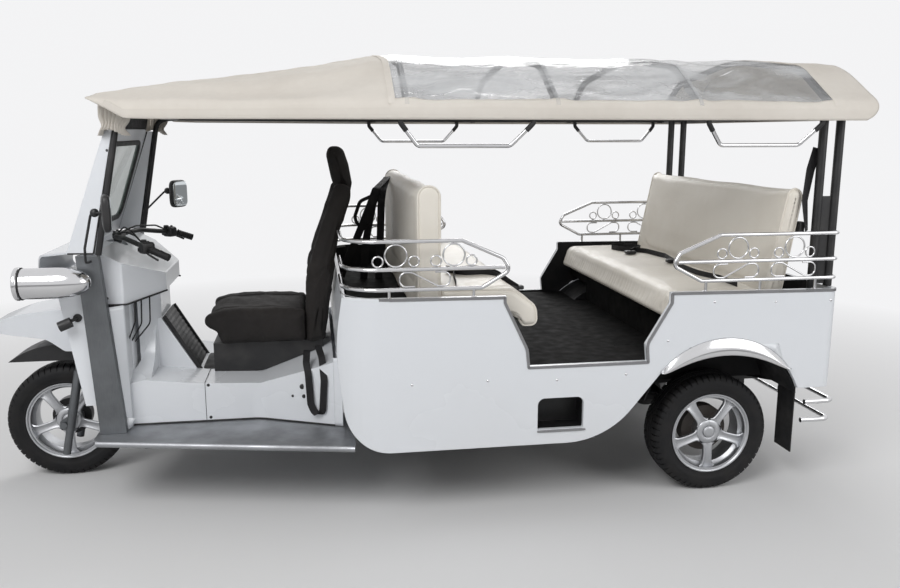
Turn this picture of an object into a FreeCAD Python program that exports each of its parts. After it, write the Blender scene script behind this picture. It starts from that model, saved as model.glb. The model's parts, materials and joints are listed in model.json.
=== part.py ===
import FreeCAD, Part
import math
import os

os.makedirs("parts", exist_ok=True)
V = FreeCAD.Vector

# Auto rickshaw with one steered front wheel and two benches that face each other.
# All stations are in millimetres from the front axle: X rearwards, Y to the vehicle's right, Z up.
# Every node is moved by ORIGIN_X when it is saved, so the origin lies under the middle of the length.

# Overall sizes
NOSE_X = -310.0
TAIL_X = 3450.0
ORIGIN_X = (NOSE_X + TAIL_X) / 2
SEAT_GAP = 0.3

# Wheels: 155/65 R13 on all three corners
TYRE_R = 266.0
TYRE_W = 155.0
RIM_LIP_R = 182.5
BEAD_R = 165.4
HUB_FACE_R = 62.0
CAP_R = 27.0
SPOKE_COUNT = 5
AXLE_Z = TYRE_R
WHEELBASE = 2879.0
REAR_WHEEL_Y = 637.0

# Facets: bends turn in steps, tubes and wheels have flat sides
BEND_STEP = 31.0
TUBE_SIDES = 12
RING_SIDES = 16
LAMP_SIDES = 24
WHEEL_SIDES = 60

# Steering: raked axis through the fork
RAKE_SLOPE = 0.279
STEER_X_AT_AXLE = 36.0
FORK_LEG_X_AT_AXLE = 28.0
FORK_LEG_SLOPE = 0.21
FORK_LEG_Y = 118.0
FORK_FOOT_R = 17.5
FORK_LOW_R = 20.0
FORK_TUBE_R = 16.0
GUARD_R = 372.0
GUARD_HALF_W = 92.0
GUARD_LOW_Z = 563.0
CROWN_Z = 672.0
HEAD_LOW_Z = 700.0
HEAD_TOP_Z = 900.0
STEM_TOP_Z = 1095.0
STEM_R = 16.0
STEM_BORE_R = 16.6

# Passenger tub
TUB_HALF_W = 830.0
TUB_WALL = 22.0
TUB_FRONT_X = 1228.0
TUB_BACK_X = 3361.0
TUB_TOP_FRONT_Z = 950.0
TUB_TOP_BACK_Z = 932.0
TUB_LOW_Z = 312.0
TUB_TAIL_LOW_Z = 498.0
TUB_CORNER_R = 170.0
ARCH_X = 2862.0
ARCH_Z = 362.0
ARCH_R = 368.0
DOOR_FRONT_X = 1908.0
DOOR_BACK_X = 2603.0
SILL_Z = 650.0
FLOOR_Z = 640.0
FLOOR_T = 12.0

PLATE_Z = 620.0
PLATE_HOLES_Y = 220.0
PLATE_HOLES_Z = 80.0
PLATE_HOLE_R = 3.5
TOW_EYE_R = 12.0
TOW_EYE_X = 3374.0
TOW_EYE_Z = 431.0

# Benches
BENCH_HALF_W = 740.0
BENCH_CUSHION_T = 125.0
FRONT_BENCH_BACK_X = 1560.0
BENCH_BACK_T = 101.0
FRONT_BENCH_NOSE_X = 2066.0
FRONT_BENCH_TOP_Z = 962.0
FRONT_BENCH_BACK_TOP_Z = 1382.0
REAR_BENCH_NOSE_X = 2604.0
REAR_BENCH_TOP_Z = 928.0
REAR_BENCH_BACK_TOP_Z = 1358.0

# Rails round the tub
RAIL_Y = TUB_HALF_W - TUB_WALL / 2
RAIL_R = 8.0
RAIL_TOP_Z = 1170.0
RAIL_MID_Z = 1060.0
RAIL_LOW_Z = 980.0
RING_SMALL_R = 24.0
RING_WIRE_R = 3.5

# Cab
CAB_HALF_W = 480.0
SCREEN_LOW_X = 168.0
SCREEN_LOW_Z = 1100.0
SCREEN_TOP_X = 345.0
SCREEN_TOP_Z = 1600.0
SCREEN_TOP_HALF_W = 430.0
BUMPER_R = 11.0
BUMPER_HALF_W = 750.0
LAMP_Y = 546.0
LAMP_Z = 998.0
LAMP_R = 62.0
CONSOLE_HALF_W = 380.0
SEAT_BASE_TOP_Z = 640.0
DASH_LOW_Z = 876.0
COLUMN_HALF_W = 130.0
TUNNEL_HALF_W = 150.0
SHIELD_X = 352.0
SHIELD_T = 6.0
CONSOLE_LOW_Z = 335.3
BOARD_Z = 335.0
BOARD_T = 14.0
BOARD_LIP_R = 13.0

# Roof
ROOF_HALF_W = 880.0
ROOF_EDGE_Z = 1635.0
ROOF_SKIRT_Z = 1702.0
ROOF_TOP_Z = 1937.0
ROOF_FRONT_X = 310.0
ROOF_PEAK_X = 1470.0
ROOF_BACK_X = 3436.0
ROOF_CLEAR_X0 = 1455.0
ROOF_CLEAR_X1 = 3250.0
ROOF_SKIN = 3.0
ROOF_TUBE_R = 12.5


# Straight runs and tangent arcs through a list of (point, corner radius)
def path_edges(points, closed):
    count = len(points)
    arrive, leave, arcs = [], [], []
    for i, (p, r) in enumerate(points):
        if r <= 0 or (not closed and i in (0, count - 1)):
            arrive.append(p)
            leave.append(p)
            arcs.append(None)
            continue
        u = points[i - 1][0].sub(p).normalize()
        v = points[(i + 1) % count][0].sub(p).normalize()
        half = u.getAngle(v) / 2
        if half > math.pi / 2 - 1e-4:
            arrive.append(p)
            leave.append(p)
            arcs.append(None)
            continue
        run = r / math.tan(half)
        a = p.add(V(u).multiply(run))
        b = p.add(V(v).multiply(run))
        bisector = u.add(v).normalize()
        middle = p.add(V(bisector).multiply(r / math.sin(half) - r))
        arrive.append(a)
        leave.append(b)
        arcs.append(Part.Arc(a, middle, b).toShape())
    edges = []
    for i in range(count):
        if arcs[i] is not None:
            edges.append(arcs[i])
        if closed or i < count - 1:
            a, b = leave[i], arrive[(i + 1) % count]
            if a.distanceToPoint(b) > 1e-5:
                edges.append(Part.makeLine(a, b))
    return edges


def plane_point(plane, a, b, at):
    if plane == "xz":
        return V(a, at, b)
    if plane == "xy":
        return V(a, b, at)
    return V(at, a, b)


# Flat outline of (a, b) or (a, b, corner radius) made into a prism between lo and hi
def prism(points, plane, lo, hi):
    corners = [(plane_point(plane, p[0], p[1], lo), p[2] if len(p) > 2 else 0.0) for p in points]
    face = Part.Face(Part.Wire(path_edges(corners, True)))
    step = plane_point(plane, 0, 0, hi - lo)
    return face.extrude(step)


def box(x0, x1, y0, y1, z0, z1):
    return Part.makeBox(x1 - x0, y1 - y0, z1 - z0, V(x0, y0, z0))


def rod(a, b, r):
    a, b = V(*a), V(*b)
    d = b.sub(a)
    return Part.makeCylinder(r, d.Length, a, d)


# Corner points with each bend replaced by short straight steps that touch it
def stepped(points, bend, other_bends={}):
    pts = [V(*p) for p in points]
    run = [pts[0]]
    for i in range(1, len(pts) - 1):
        u = pts[i - 1].sub(pts[i]).normalize()
        v = pts[i + 1].sub(pts[i]).normalize()
        turn = math.pi - u.getAngle(v)
        steps = math.ceil(math.degrees(turn) / BEND_STEP)
        if steps < 2:
            run.append(pts[i])
            continue
        r = other_bends.get(i, bend)
        start = pts[i].add(V(u).multiply(r * math.tan(turn / 2)))
        centre = pts[i].add(u.add(v).normalize().multiply(r / math.cos(turn / 2)))
        out = start.sub(centre).normalize()
        reach = r / math.cos(turn / steps / 2)
        for k in range(steps):
            a = turn * (k + 0.5) / steps
            way = V(out).multiply(math.cos(a)).sub(V(u).multiply(math.sin(a)))
            run.append(centre.add(way.multiply(reach)))
    run.append(pts[-1])
    return run


# Solid with flat sides through rings of points, capped at both ends or closed on itself
def skin(rings, loop=False):
    ends = [] if loop else [rings[0], rings[-1]]
    pairs = list(zip(rings, rings[1:])) + ([(rings[-1], rings[0])] if loop else [])
    faces = [Part.Face(Part.makePolygon(ring + ring[:1])) for ring in ends]
    for a, b in pairs:
        for i in range(len(a)):
            j = (i + 1) % len(a)
            corners = [a[i]]
            for p in (a[j], b[j], b[i]):
                if p.distanceToPoint(corners[-1]) > 1e-5 and p.distanceToPoint(corners[0]) > 1e-5:
                    corners.append(p)
            if len(corners) > 2:
                faces.append(Part.Face(Part.makePolygon(corners + corners[:1])))
    return Part.Solid(Part.Shell(faces))


# Tube along straight runs, with its rings of points on the mitre planes of a stepped path
def pipe(points, radius, bend, other_bends={}):
    run = stepped(points, bend, other_bends)
    ways = [b.sub(a).normalize() for a, b in zip(run, run[1:])]
    across = ways[0].cross(V(0, 0, 1) if abs(ways[0].z) < 0.9 else V(1, 0, 0)).normalize()
    up = across.cross(ways[0])
    ring = []
    for k in range(TUBE_SIDES):
        a = 2 * math.pi * (k + 0.5) / TUBE_SIDES
        ring.append(run[0].add(V(across).multiply(radius * math.cos(a))).add(V(up).multiply(radius * math.sin(a))))
    rings = [ring]
    for i, way in enumerate(ways):
        normal = way.add(ways[min(i + 1, len(ways) - 1)])
        ring = [p.add(V(way).multiply(run[i + 1].sub(p).dot(normal) / way.dot(normal))) for p in ring]
        rings.append(ring)
    return skin(rings)


# Closed outline of (radius, station) turned about the x or y axis as flat sides that touch the true radius
def flat_turned(outline, axis, sides):
    rings = []
    for k in range(sides):
        a = 2 * math.pi * (k + 0.5) / sides
        c, d = math.cos(a) / math.cos(math.pi / sides), math.sin(a) / math.cos(math.pi / sides)
        rings.append([V(s, r * c, r * d) if axis == "x" else V(r * c, s, r * d) for r, s in outline])
    return skin(rings, True)


# Square bar that lies flat in a plane of constant y
def flat_bar(points, half, bend, y):
    run = stepped([(a, 0, b) for a, b in points], bend)
    ways = [b.sub(a).normalize() for a, b in zip(run, run[1:])]
    left, right = [], []
    for i, p in enumerate(run):
        u = ways[max(i - 1, 0)]
        v = ways[min(i, len(ways) - 1)]
        side = V(-(u.z + v.z), 0, u.x + v.x).normalize()
        side.multiply(half / math.cos(u.getAngle(v) / 2))
        left.append((p.x + side.x, p.z + side.z))
        right.append((p.x - side.x, p.z - side.z))
    return prism(left + right[::-1], "xz", y - half, y + half)


# Closed outline of (radius, y) turned about a transverse axis at (cx, cz)
def turned(points, cx, cz):
    corners = [(V(cx + p[0], p[1], cz), p[2] if len(p) > 2 else 0.0) for p in points]
    face = Part.Face(Part.Wire(path_edges(corners, True)))
    return face.revolve(V(cx, 0, cz), V(0, 1, 0), 360)


def fuse(shapes):
    whole = shapes[0]
    if len(shapes) > 1:
        whole = whole.multiFuse(shapes[1:])
    return whole.removeSplitter()


def mirrored(shape):
    return shape.mirror(V(0, 0, 0), V(0, 1, 0))


def save(name, shape):
    shape = shape.copy()
    shape.translate(V(-ORIGIN_X, 0, 0))
    shape.exportStep("parts/" + name + ".step")


def save_pair(name, shape):
    save(name + "_left", shape)
    save(name + "_right", mirrored(shape))


# Like pieces of both sides in one node
def both(shapes):
    return Part.makeCompound(shapes + [mirrored(s) for s in shapes])


def steer_x(z):
    return STEER_X_AT_AXLE + RAKE_SLOPE * (z - AXLE_Z)


def leg_x(z):
    return FORK_LEG_X_AT_AXLE + FORK_LEG_SLOPE * (z - AXLE_Z)


# Tyre ring and alloy wheel, outer face towards -Y
def tyre(cx, cy):
    half = TYRE_W / 2
    side = [(BEAD_R, 63.0), (RIM_LIP_R + 1.5, 63.0), (206.0, half), (244.0, half - 3), (TYRE_R, half - 24)]
    shape = flat_turned([(r, -y) for r, y in side] + [(r, y) for r, y in reversed(side)], "y", WHEEL_SIDES)
    shape.translate(V(cx, cy, AXLE_Z))
    return shape


def rim(cx, cy, bore_r):
    seat_r = BEAD_R - SEAT_GAP
    barrel = flat_turned([(RIM_LIP_R, -70.0), (RIM_LIP_R, -63.3), (seat_r, -63.3), (seat_r, 63.3), (RIM_LIP_R, 63.3),
                          (RIM_LIP_R, 67.0), (158.0, 67.0), (150.0, -30.0), (RIM_LIP_R - 7, -70.0)], "y", WHEEL_SIDES)
    disc = turned([(bore_r, -54.0), (CAP_R, -54.0), (CAP_R, -48.0), (163.0, -48.0), (163.0, -34.0), (HUB_FACE_R, -34.0),
                   (HUB_FACE_R, 10.0), (bore_r, 10.0)], 0, 0)
    windows = []
    for k in range(SPOKE_COUNT):
        window = prism([(-26.0, 63.0, 10.0), (-70.0, 138.0, 18.0), (0.0, 156.0), (70.0, 138.0, 18.0), (26.0, 63.0, 10.0)],
                       "xz", -90.0, 9.0)
        window.rotate(V(0, 0, 0), V(0, 1, 0), 360.0 / SPOKE_COUNT * k)
        windows.append(window)
    shape = fuse([barrel, disc.cut(Part.makeCompound(windows))])
    shape.translate(V(cx, cy, AXLE_Z))
    return shape


# Front wheel with its hub drum, between the fork legs
save("front_tyre", tyre(0.0, 0.0))
save("front_rim", rim(0.0, 0.0, 14.0))
front_hub = rod((0, 10.3, AXLE_Z), (0, 60, AXLE_Z), 88.0).fuse(rod((0, -44, AXLE_Z), (0, 10.3, AXLE_Z), 13.7))
front_hub = front_hub.cut(rod((0, -60, AXLE_Z), (0, 80, AXLE_Z), 9.5))
save("front_hub", front_hub)

# Rear wheels with brake drums
rear_tyre = tyre(WHEELBASE, -REAR_WHEEL_Y)
rear_rim = rim(WHEELBASE, -REAR_WHEEL_Y, 26.5)
rear_drum = rod((WHEELBASE, -REAR_WHEEL_Y + 10.3, AXLE_Z), (WHEELBASE, -REAR_WHEEL_Y + 70, AXLE_Z), 105.0)
rear_drum = rear_drum.fuse(rod((WHEELBASE, -REAR_WHEEL_Y - 44, AXLE_Z), (WHEELBASE, -REAR_WHEEL_Y + 20, AXLE_Z), 26.2))
rear_drum = rear_drum.cut(rod((WHEELBASE, -REAR_WHEEL_Y - 20, AXLE_Z), (WHEELBASE, -REAR_WHEEL_Y + 80, AXLE_Z), 18.5))
save_pair("rear_tyre", rear_tyre)
save_pair("rear_rim", rear_rim)
save_pair("rear_drum", rear_drum)

# Fork, stem and axle pin
fork = []
for side in (-1, 1):
    y = side * FORK_LEG_Y
    for low, high, r in ((125, 240, FORK_FOOT_R), (237, 520, FORK_LOW_R), (515, CROWN_Z, FORK_TUBE_R)):
        fork.append(rod((leg_x(low), y, low), (leg_x(high), y, high), r))
    a, b = sorted((side * (FORK_LEG_Y - 6), side * (FORK_LEG_Y + 6)))
    fork.append(prism([(-18, 250, 12), (-18, 282, 12), (32, 312), (46, 300), (44, 232), (14, 232)], "xz", a, b))
    fork.append(rod((0, side * (FORK_LEG_Y + 5), AXLE_Z), (0, side * (FORK_LEG_Y + 18), AXLE_Z), 15.0))
fork.append(rod((0, -FORK_LEG_Y, AXLE_Z), (0, FORK_LEG_Y, AXLE_Z), 9.0))
leg_line = leg_x(CROWN_Z)
crown_x = steer_x(CROWN_Z)
half_crown = FORK_LEG_Y + 20
fork.append(prism([(leg_line - 26, -half_crown, 18), (leg_line - 26, half_crown, 18), (leg_line + 24, half_crown, 18),
                   (crown_x + 34, 48, 20), (crown_x + 34, -48, 20), (leg_line + 24, -half_crown, 18)], "xy",
                  CROWN_Z - 14, CROWN_Z + 14))
fork.append(rod((steer_x(CROWN_Z), 0, CROWN_Z), (steer_x(STEM_TOP_Z), 0, STEM_TOP_Z), STEM_R))
save("fork", fuse(fork))

# Handlebar with grips
bar_z = 1122.0
bar_x = steer_x(bar_z)
grip_in, grip_out = (478, 335, 1092), (550, 362, 1062)
half_bar = [(bar_x, 70, bar_z), (bar_x + 60, 170, bar_z + 4), grip_in, grip_out]
left_bar = [(x, -y, z) for x, y, z in reversed(half_bar)]
handlebar = [pipe(left_bar + half_bar, 11.0, 40.0)]
handlebar.append(rod((steer_x(STEM_TOP_Z + 0.3), 0, STEM_TOP_Z + 0.3), (bar_x, 0, bar_z), 20.0))
handlebar.append(box(bar_x - 20, bar_x + 20, -55, 55, bar_z - 16, bar_z + 16))
for side in (-1, 1):
    handlebar.append(rod((grip_in[0], side * grip_in[1], grip_in[2]), (grip_out[0], side * grip_out[1], grip_out[2]), 16.0))
    handlebar.append(box(428, 472, side * 302 - 28, side * 302 + 28, 1070, 1122))
save("handlebar", fuse(handlebar))

# Black mudguard over the front tyre, on lugs from the fork legs
inner_r = GUARD_R - 3.5
inner_w = GUARD_HALF_W - 3.5
guard = turned([(GUARD_R, -GUARD_HALF_W), (GUARD_R, GUARD_HALF_W), (290.0, GUARD_HALF_W), (290.0, inner_w),
                (inner_r, inner_w), (inner_r, -inner_w), (290.0, -inner_w), (290.0, -GUARD_HALF_W)], 0.0, AXLE_Z)
guard = guard.common(box(-330, 150, -120, 120, GUARD_LOW_Z, 700))
lugs = []
for side in (-1, 1):
    lugs.append(rod((leg_x(598), side * (inner_w + 1), 598), (leg_x(598), side * (FORK_LEG_Y - FORK_TUBE_R - SEAT_GAP), 598), 9.0))
save("fork_mudguard", fuse([guard] + lugs))


# White fender over the front wheel, fixed to the apron
def fender_side(inset):
    low = [(200, 628), (48, 628, 30), (-30, 682, 120), (-225, 704)]
    if inset:
        low = [(210, 560)]
    return [(NOSE_X + inset, 704 if inset == 0 else 560), (NOSE_X + inset, 724 - inset, 12), (-262, 754 - inset, 120),
            (-150, 793 - inset, 300), (10, 815 - inset, 300), (210 if inset else 200, 821 - inset)] + low


def fender_plan(inset):
    side = [(NOSE_X + inset, 60 - inset / 2, 50 - inset), (-215, 138 - inset, 160), (-40, 165 - inset, 300),
            (210, 217 - inset)]
    return [(x, -y, *r) for x, y, *r in reversed(side)] + side


fender_outer = prism(fender_side(0), "xz", -230, 230).common(prism(fender_plan(0), "xy", 560, 860))
fender_inner = prism(fender_side(6), "xz", -230, 230).common(prism(fender_plan(6), "xy", 540, 860))
fender = fender_outer.cut(fender_inner)
fender = fender.cut(prism([(120.7, 925), (192.7, 458), (400, 458), (400, 925)], "xz", -300, 300))
save("front_fender", fender)

# Height of the tub's top edge along its length
def tub_top(x):
    return TUB_TOP_FRONT_Z + (TUB_TOP_BACK_Z - TUB_TOP_FRONT_Z) * (x - 1257) / (TUB_BACK_X - 1257)


# Side outline of the passenger tub
def tub_side(inset, low_z, top_z):
    front = TUB_WALL * inset
    pts = [(1257 + front, top_z), (1226 + front, 745, 900), (1276 + front, low_z, 190 - front)]
    return pts


def tub_solid():
    outline = tub_side(0, TUB_LOW_Z, TUB_TOP_FRONT_Z) + [
        (2343, TUB_LOW_Z, 366), (2576, 596), (2700, 700), (3100, 700), (3168, TUB_TAIL_LOW_Z),
        (TUB_BACK_X, TUB_TAIL_LOW_Z), (TUB_BACK_X, TUB_TOP_BACK_Z)]
    body = prism(outline, "xz", -TUB_HALF_W, TUB_HALF_W)
    arch = rod((ARCH_X, -TUB_HALF_W - 10, ARCH_Z), (ARCH_X, TUB_HALF_W + 10, ARCH_Z), ARCH_R)
    body = body.cut(arch)
    plan = prism([(1180, -TUB_HALF_W, TUB_CORNER_R + 40), (TUB_BACK_X, -TUB_HALF_W, 40), (TUB_BACK_X, TUB_HALF_W, 40),
                  (1180, TUB_HALF_W, TUB_CORNER_R + 40)], "xy", 200, 1000)
    return body.common(plan)


def tub_hollow():
    outline = tub_side(1, TUB_LOW_Z + TUB_WALL, 1010) + [
        (1500, TUB_LOW_Z + TUB_WALL), (1500, 150), (TUB_BACK_X - TUB_WALL, 150), (TUB_BACK_X - TUB_WALL, 1010)]
    body = prism(outline, "xz", -TUB_HALF_W + TUB_WALL, TUB_HALF_W - TUB_WALL)
    plan = prism([(1180 + TUB_WALL, -TUB_HALF_W + TUB_WALL, TUB_CORNER_R + 18), (TUB_BACK_X, -TUB_HALF_W + TUB_WALL, 18),
                  (TUB_BACK_X, TUB_HALF_W - TUB_WALL, 18), (1180 + TUB_WALL, TUB_HALF_W - TUB_WALL, TUB_CORNER_R + 18)],
                 "xy", 100, 1100)
    return body.common(plan)


tub_shell = tub_solid().cut(tub_hollow())
door = prism([(DOOR_FRONT_X, 1000), (DOOR_FRONT_X, 917), (2002, 722), (2010, SILL_Z), (2510, SILL_Z), (2502, 722),
              (DOOR_BACK_X, 892), (DOOR_BACK_X, 1000)], "xz", -TUB_HALF_W - 20, -TUB_HALF_W + 60)
vent_hole = prism([(2046, 376, 6), (2046, 510, 30), (2242, 510, 30), (2242, 376, 6)], "xz", -TUB_HALF_W - 20,
                  -TUB_HALF_W + 60)
side_panel = tub_shell.common(box(1100, 3400, -900, -640, 200, 1000)).cut(door).cut(vent_hole)
save_pair("side_panel", side_panel)
front_wall = tub_shell.common(box(1100, 1700, -639.7, 639.7, 200, 1000))
tail_panel = tub_shell.common(box(3300, 3400, -639.7, 639.7, 200, 1000))
for y in (-PLATE_HOLES_Y / 2, PLATE_HOLES_Y / 2):
    for z in (PLATE_Z - PLATE_HOLES_Z / 2, PLATE_Z + PLATE_HOLES_Z / 2):
        tail_panel = tail_panel.cut(rod((TUB_BACK_X - 40, y, z), (TUB_BACK_X + 10, y, z), PLATE_HOLE_R))
save("tub_end_walls", Part.makeCompound([front_wall, tail_panel]))

# Step recess behind the hole in each side panel
recess = box(2030, 2258, -807.7, -690, 360, 526).cut(box(2036, 2252, -900, -696, 366, 520))

# Passenger floor with room for the wheels
inner_y = TUB_HALF_W - TUB_WALL - SEAT_GAP
floor_low = FLOOR_Z - FLOOR_T
floor = box(1440, TUB_BACK_X - TUB_WALL - SEAT_GAP, -inner_y, inner_y, floor_low, FLOOR_Z)
floor = floor.fuse(box(1266, 1440, -640, 640, floor_low, FLOOR_Z))
for side in (-1, 1):
    y0, y1 = sorted((side * 519.7, side * 900))
    floor = floor.cut(box(2480, 3400, y0, y1, 600, 700))
save("passenger_floor", floor.removeSplitter())

# Wheel housings over the rear tyres
house = rod((ARCH_X, -807.7, ARCH_Z), (ARCH_X, -520, ARCH_Z), 366.0)
house = house.cut(rod((ARCH_X, -900, ARCH_Z), (ARCH_X, -526, ARCH_Z), 360.0))
house = house.common(box(2400, 3300, -900, -500, 470, 800))
save("step_recesses", both([recess]))
save("wheel_housings", both([house]))

# Seat boxes under the benches
front_base = box(1300, 1985, -inner_y + 2, inner_y - 2, FLOOR_Z + SEAT_GAP, FRONT_BENCH_TOP_Z - BENCH_CUSHION_T)
front_base = front_base.common(prism([(1262, -640), (1440, -inner_y + 2), (2100, -inner_y + 2), (2100, inner_y - 2),
                                      (1440, inner_y - 2), (1262, 640)], "xy", 600, 1000))
front_base = front_base.common(prism([(1300, 600), (1300, 840), (1893, 840), (1985, 690), (1985, 600)], "xz", -900, 900))
rear_base = box(2690, 3330, -518, 518, FLOOR_Z + SEAT_GAP, REAR_BENCH_TOP_Z - BENCH_CUSHION_T)
rear_base = rear_base.fuse(box(2690, 3330, -inner_y + 2, inner_y - 2, 735, REAR_BENCH_TOP_Z - BENCH_CUSHION_T))
save("bench_bases", Part.makeCompound([front_base, rear_base.removeSplitter()]))

# Bench cushions and backs
bench_seam_x = FRONT_BENCH_BACK_X + BENCH_BACK_T + SEAT_GAP
front_cushion = prism([(bench_seam_x, FRONT_BENCH_TOP_Z - BENCH_CUSHION_T + SEAT_GAP), (bench_seam_x, FRONT_BENCH_TOP_Z, 10),
                       (1960, FRONT_BENCH_TOP_Z, 60), (FRONT_BENCH_NOSE_X, 880, 60), (FRONT_BENCH_NOSE_X + 6, 790, 30),
                       (2000, 790, 20), (1970, FRONT_BENCH_TOP_Z - BENCH_CUSHION_T + SEAT_GAP)], "xz",
                      -BENCH_HALF_W, BENCH_HALF_W)
save("front_bench_cushion", front_cushion)
front_back = prism([(FRONT_BENCH_BACK_X, FRONT_BENCH_TOP_Z - BENCH_CUSHION_T + SEAT_GAP), (FRONT_BENCH_BACK_X, FRONT_BENCH_BACK_TOP_Z, 45),
                    (FRONT_BENCH_BACK_X + BENCH_BACK_T, FRONT_BENCH_BACK_TOP_Z, 45),
                    (FRONT_BENCH_BACK_X + BENCH_BACK_T, FRONT_BENCH_TOP_Z - BENCH_CUSHION_T + SEAT_GAP)], "xz",
                   -BENCH_HALF_W, BENCH_HALF_W)
save("front_bench_back", front_back)
rear_cushion = prism([(REAR_BENCH_NOSE_X, 803.3, 20), (REAR_BENCH_NOSE_X + 40, REAR_BENCH_TOP_Z, 45),
                      (3046.7, REAR_BENCH_TOP_Z + 4, 8), (3046.7, 803.3)], "xz", -BENCH_HALF_W, BENCH_HALF_W)
save("rear_bench_cushion", rear_cushion)
rear_back = prism([(3047, 803.3), (3155, REAR_BENCH_BACK_TOP_Z, 35), (3232, REAR_BENCH_BACK_TOP_Z, 35), (3140, 803.3)], "xz",
                  -BENCH_HALF_W, BENCH_HALF_W)
save("rear_bench_back", rear_back)


# Chrome rails with rings and scrolls on both sides
def ring(x, z, r):
    inner, half = r - 2 * RING_WIRE_R, RING_WIRE_R
    band = flat_turned([(inner, -half), (r, -half), (r, half), (inner, half)], "y", RING_SIDES)
    band.translate(V(x, -RAIL_Y, z))
    return band


def scroll(x, lean):
    edge = RAIL_R + SEAT_GAP + RING_WIRE_R
    z0, z1 = RAIL_LOW_Z + edge, RAIL_MID_Z - edge
    pts = [(-40, z1), (-100, z1), (-100, z0), (-52, z0), (52, z1), (100, z1), (100, z0), (40, z0)]
    return flat_bar([(x + lean * a, z) for a, z in pts], RING_WIRE_R, 26.0, -RAIL_Y)


def rail_side(tip_x, inward, end_x, end_y, corner_r, flat_x, low_x, posts, rings, scrolls):
    parts = []
    y = -RAIL_Y
    level = [(end_x, end_y), (end_x, y)]
    top = [(a, b, RAIL_TOP_Z) for a, b in level]
    low = [(a, b, RAIL_LOW_Z) for a, b in reversed(level)]
    nose_pts = [(flat_x, y, RAIL_TOP_Z), (tip_x + inward * 26, y, 1097), (tip_x - inward * 4, y, RAIL_MID_Z - 12),
                (low_x, y, RAIL_LOW_Z)]
    parts.append(pipe(top + nose_pts + low, RAIL_R, 24.0, {1: corner_r, 6: corner_r}))
    mid = [(a, b, RAIL_MID_Z) for a, b in level] + [(tip_x + inward * 18, y, RAIL_MID_Z)]
    parts.append(pipe(mid, RAIL_R, 24.0, {1: corner_r}))
    for x in posts:
        parts.append(rod((x, y, tub_top(x) + SEAT_GAP), (x, y, RAIL_LOW_Z - RAIL_R - SEAT_GAP), 6.0))
    big = (RAIL_TOP_Z - RAIL_MID_Z) / 2 - RAIL_R - SEAT_GAP
    for x in rings:
        parts.append(ring(x, (RAIL_TOP_Z + RAIL_MID_Z) / 2, big))
        for s in (-1, 1):
            parts.append(ring(x + s * (big + RING_SMALL_R), RAIL_MID_Z + RAIL_R + RING_SMALL_R + SEAT_GAP, RING_SMALL_R))
    for x, lean in scrolls:
        parts.append(scroll(x, lean))
    return parts


rear_rail = rail_side(2612, 1, 3346, -780.4, 22.0, 2813, 2736, (2757, 2999, 3251), (2893, 3146), ((2888, 1), (3146, -1)))
front_rail = rail_side(1921, -1, 1262, -430, 150.0, 1731, 1809, (1440, 1777), (1468, 1697), ((1582, -1),))
front_rail.append(rod((1262, -434, TUB_TOP_FRONT_Z + SEAT_GAP), (1262, -434, RAIL_LOW_Z - RAIL_R - SEAT_GAP), 6.0))
save("side_rails", both(rear_rail + front_rail))

# Bright crescent over each rear wheel arch
plate_y = -TUB_HALF_W - SEAT_GAP
strip = turned([(ARCH_R + 6, plate_y), (ARCH_R + 6, plate_y - 5), (336, plate_y - 24), (285, plate_y - 17), (285, plate_y - 14),
                (336, plate_y - 21), (ARCH_R, plate_y - 4), (ARCH_R, plate_y)], ARCH_X, ARCH_Z)
strip = strip.common(box(ARCH_X - 277, ARCH_X + 273, -900, -820, 560, 800))
strip = strip.cut(rod((ARCH_X + 4, -900, 107), (ARCH_X + 4, -800, 107), 555.0))
save("arch_strips", both([strip]))

# Frame rails, kicked up over the rear axle
FRAME_IN_Y = 300.0
FRAME_OUT_Y = 360.0
FRAME_LOW_Z = 250.0
FRAME_TOP_Z = 310.0
FRAME_REAR_LOW_Z = 400.0
FRAME_REAR_TOP_Z = 462.0
frame_rail = prism([(300, FRAME_LOW_Z), (300, FRAME_TOP_Z), (2420, FRAME_TOP_Z), (2560, FRAME_REAR_TOP_Z),
                    (3330, FRAME_REAR_TOP_Z), (3330, FRAME_REAR_LOW_Z), (2600, FRAME_REAR_LOW_Z), (2450, FRAME_LOW_Z)],
                   "xz", -FRAME_OUT_Y, -FRAME_IN_Y)
save("chassis_rails", both([frame_rail]))

# Cross members between the rails and posts up to the passenger floor
members = []
for x, z in ((310, FRAME_LOW_Z), (900, FRAME_LOW_Z), (1400, FRAME_LOW_Z), (2000, FRAME_LOW_Z), (3270, FRAME_REAR_LOW_Z)):
    members.append(box(x, x + 50, -FRAME_IN_Y + SEAT_GAP, FRAME_IN_Y - SEAT_GAP, z + 2, z + 60))
posts = []
for x, z in ((1560, FRAME_TOP_Z), (2380, FRAME_TOP_Z), (2660, FRAME_REAR_TOP_Z), (3260, FRAME_REAR_TOP_Z)):
    posts.append(box(x, x + 40, -FRAME_OUT_Y, -FRAME_IN_Y, z + SEAT_GAP, floor_low - SEAT_GAP))
save("cross_members", Part.makeCompound(members + posts + [mirrored(post) for post in posts]))

# Outriggers to the running boards, the tub's sides and the mudflaps
arms = []
for x, y_end in ((430, 530), (1120, 633)):
    arms.append(box(x, x + 50, -y_end, -FRAME_OUT_Y - SEAT_GAP, 280, BOARD_Z - BOARD_T - SEAT_GAP))
for x, low, low_end in ((1700, 262, 322), (2270, 262, 322), (3217.5, 416, 505)):
    arms.append(prism([(-FRAME_OUT_Y - SEAT_GAP, low), (-FRAME_OUT_Y - SEAT_GAP, low + 44), (-inner_y, low_end + 40),
                       (-inner_y, low_end)], "yz", x, x + 40))
save("outriggers", both(arms))

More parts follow.
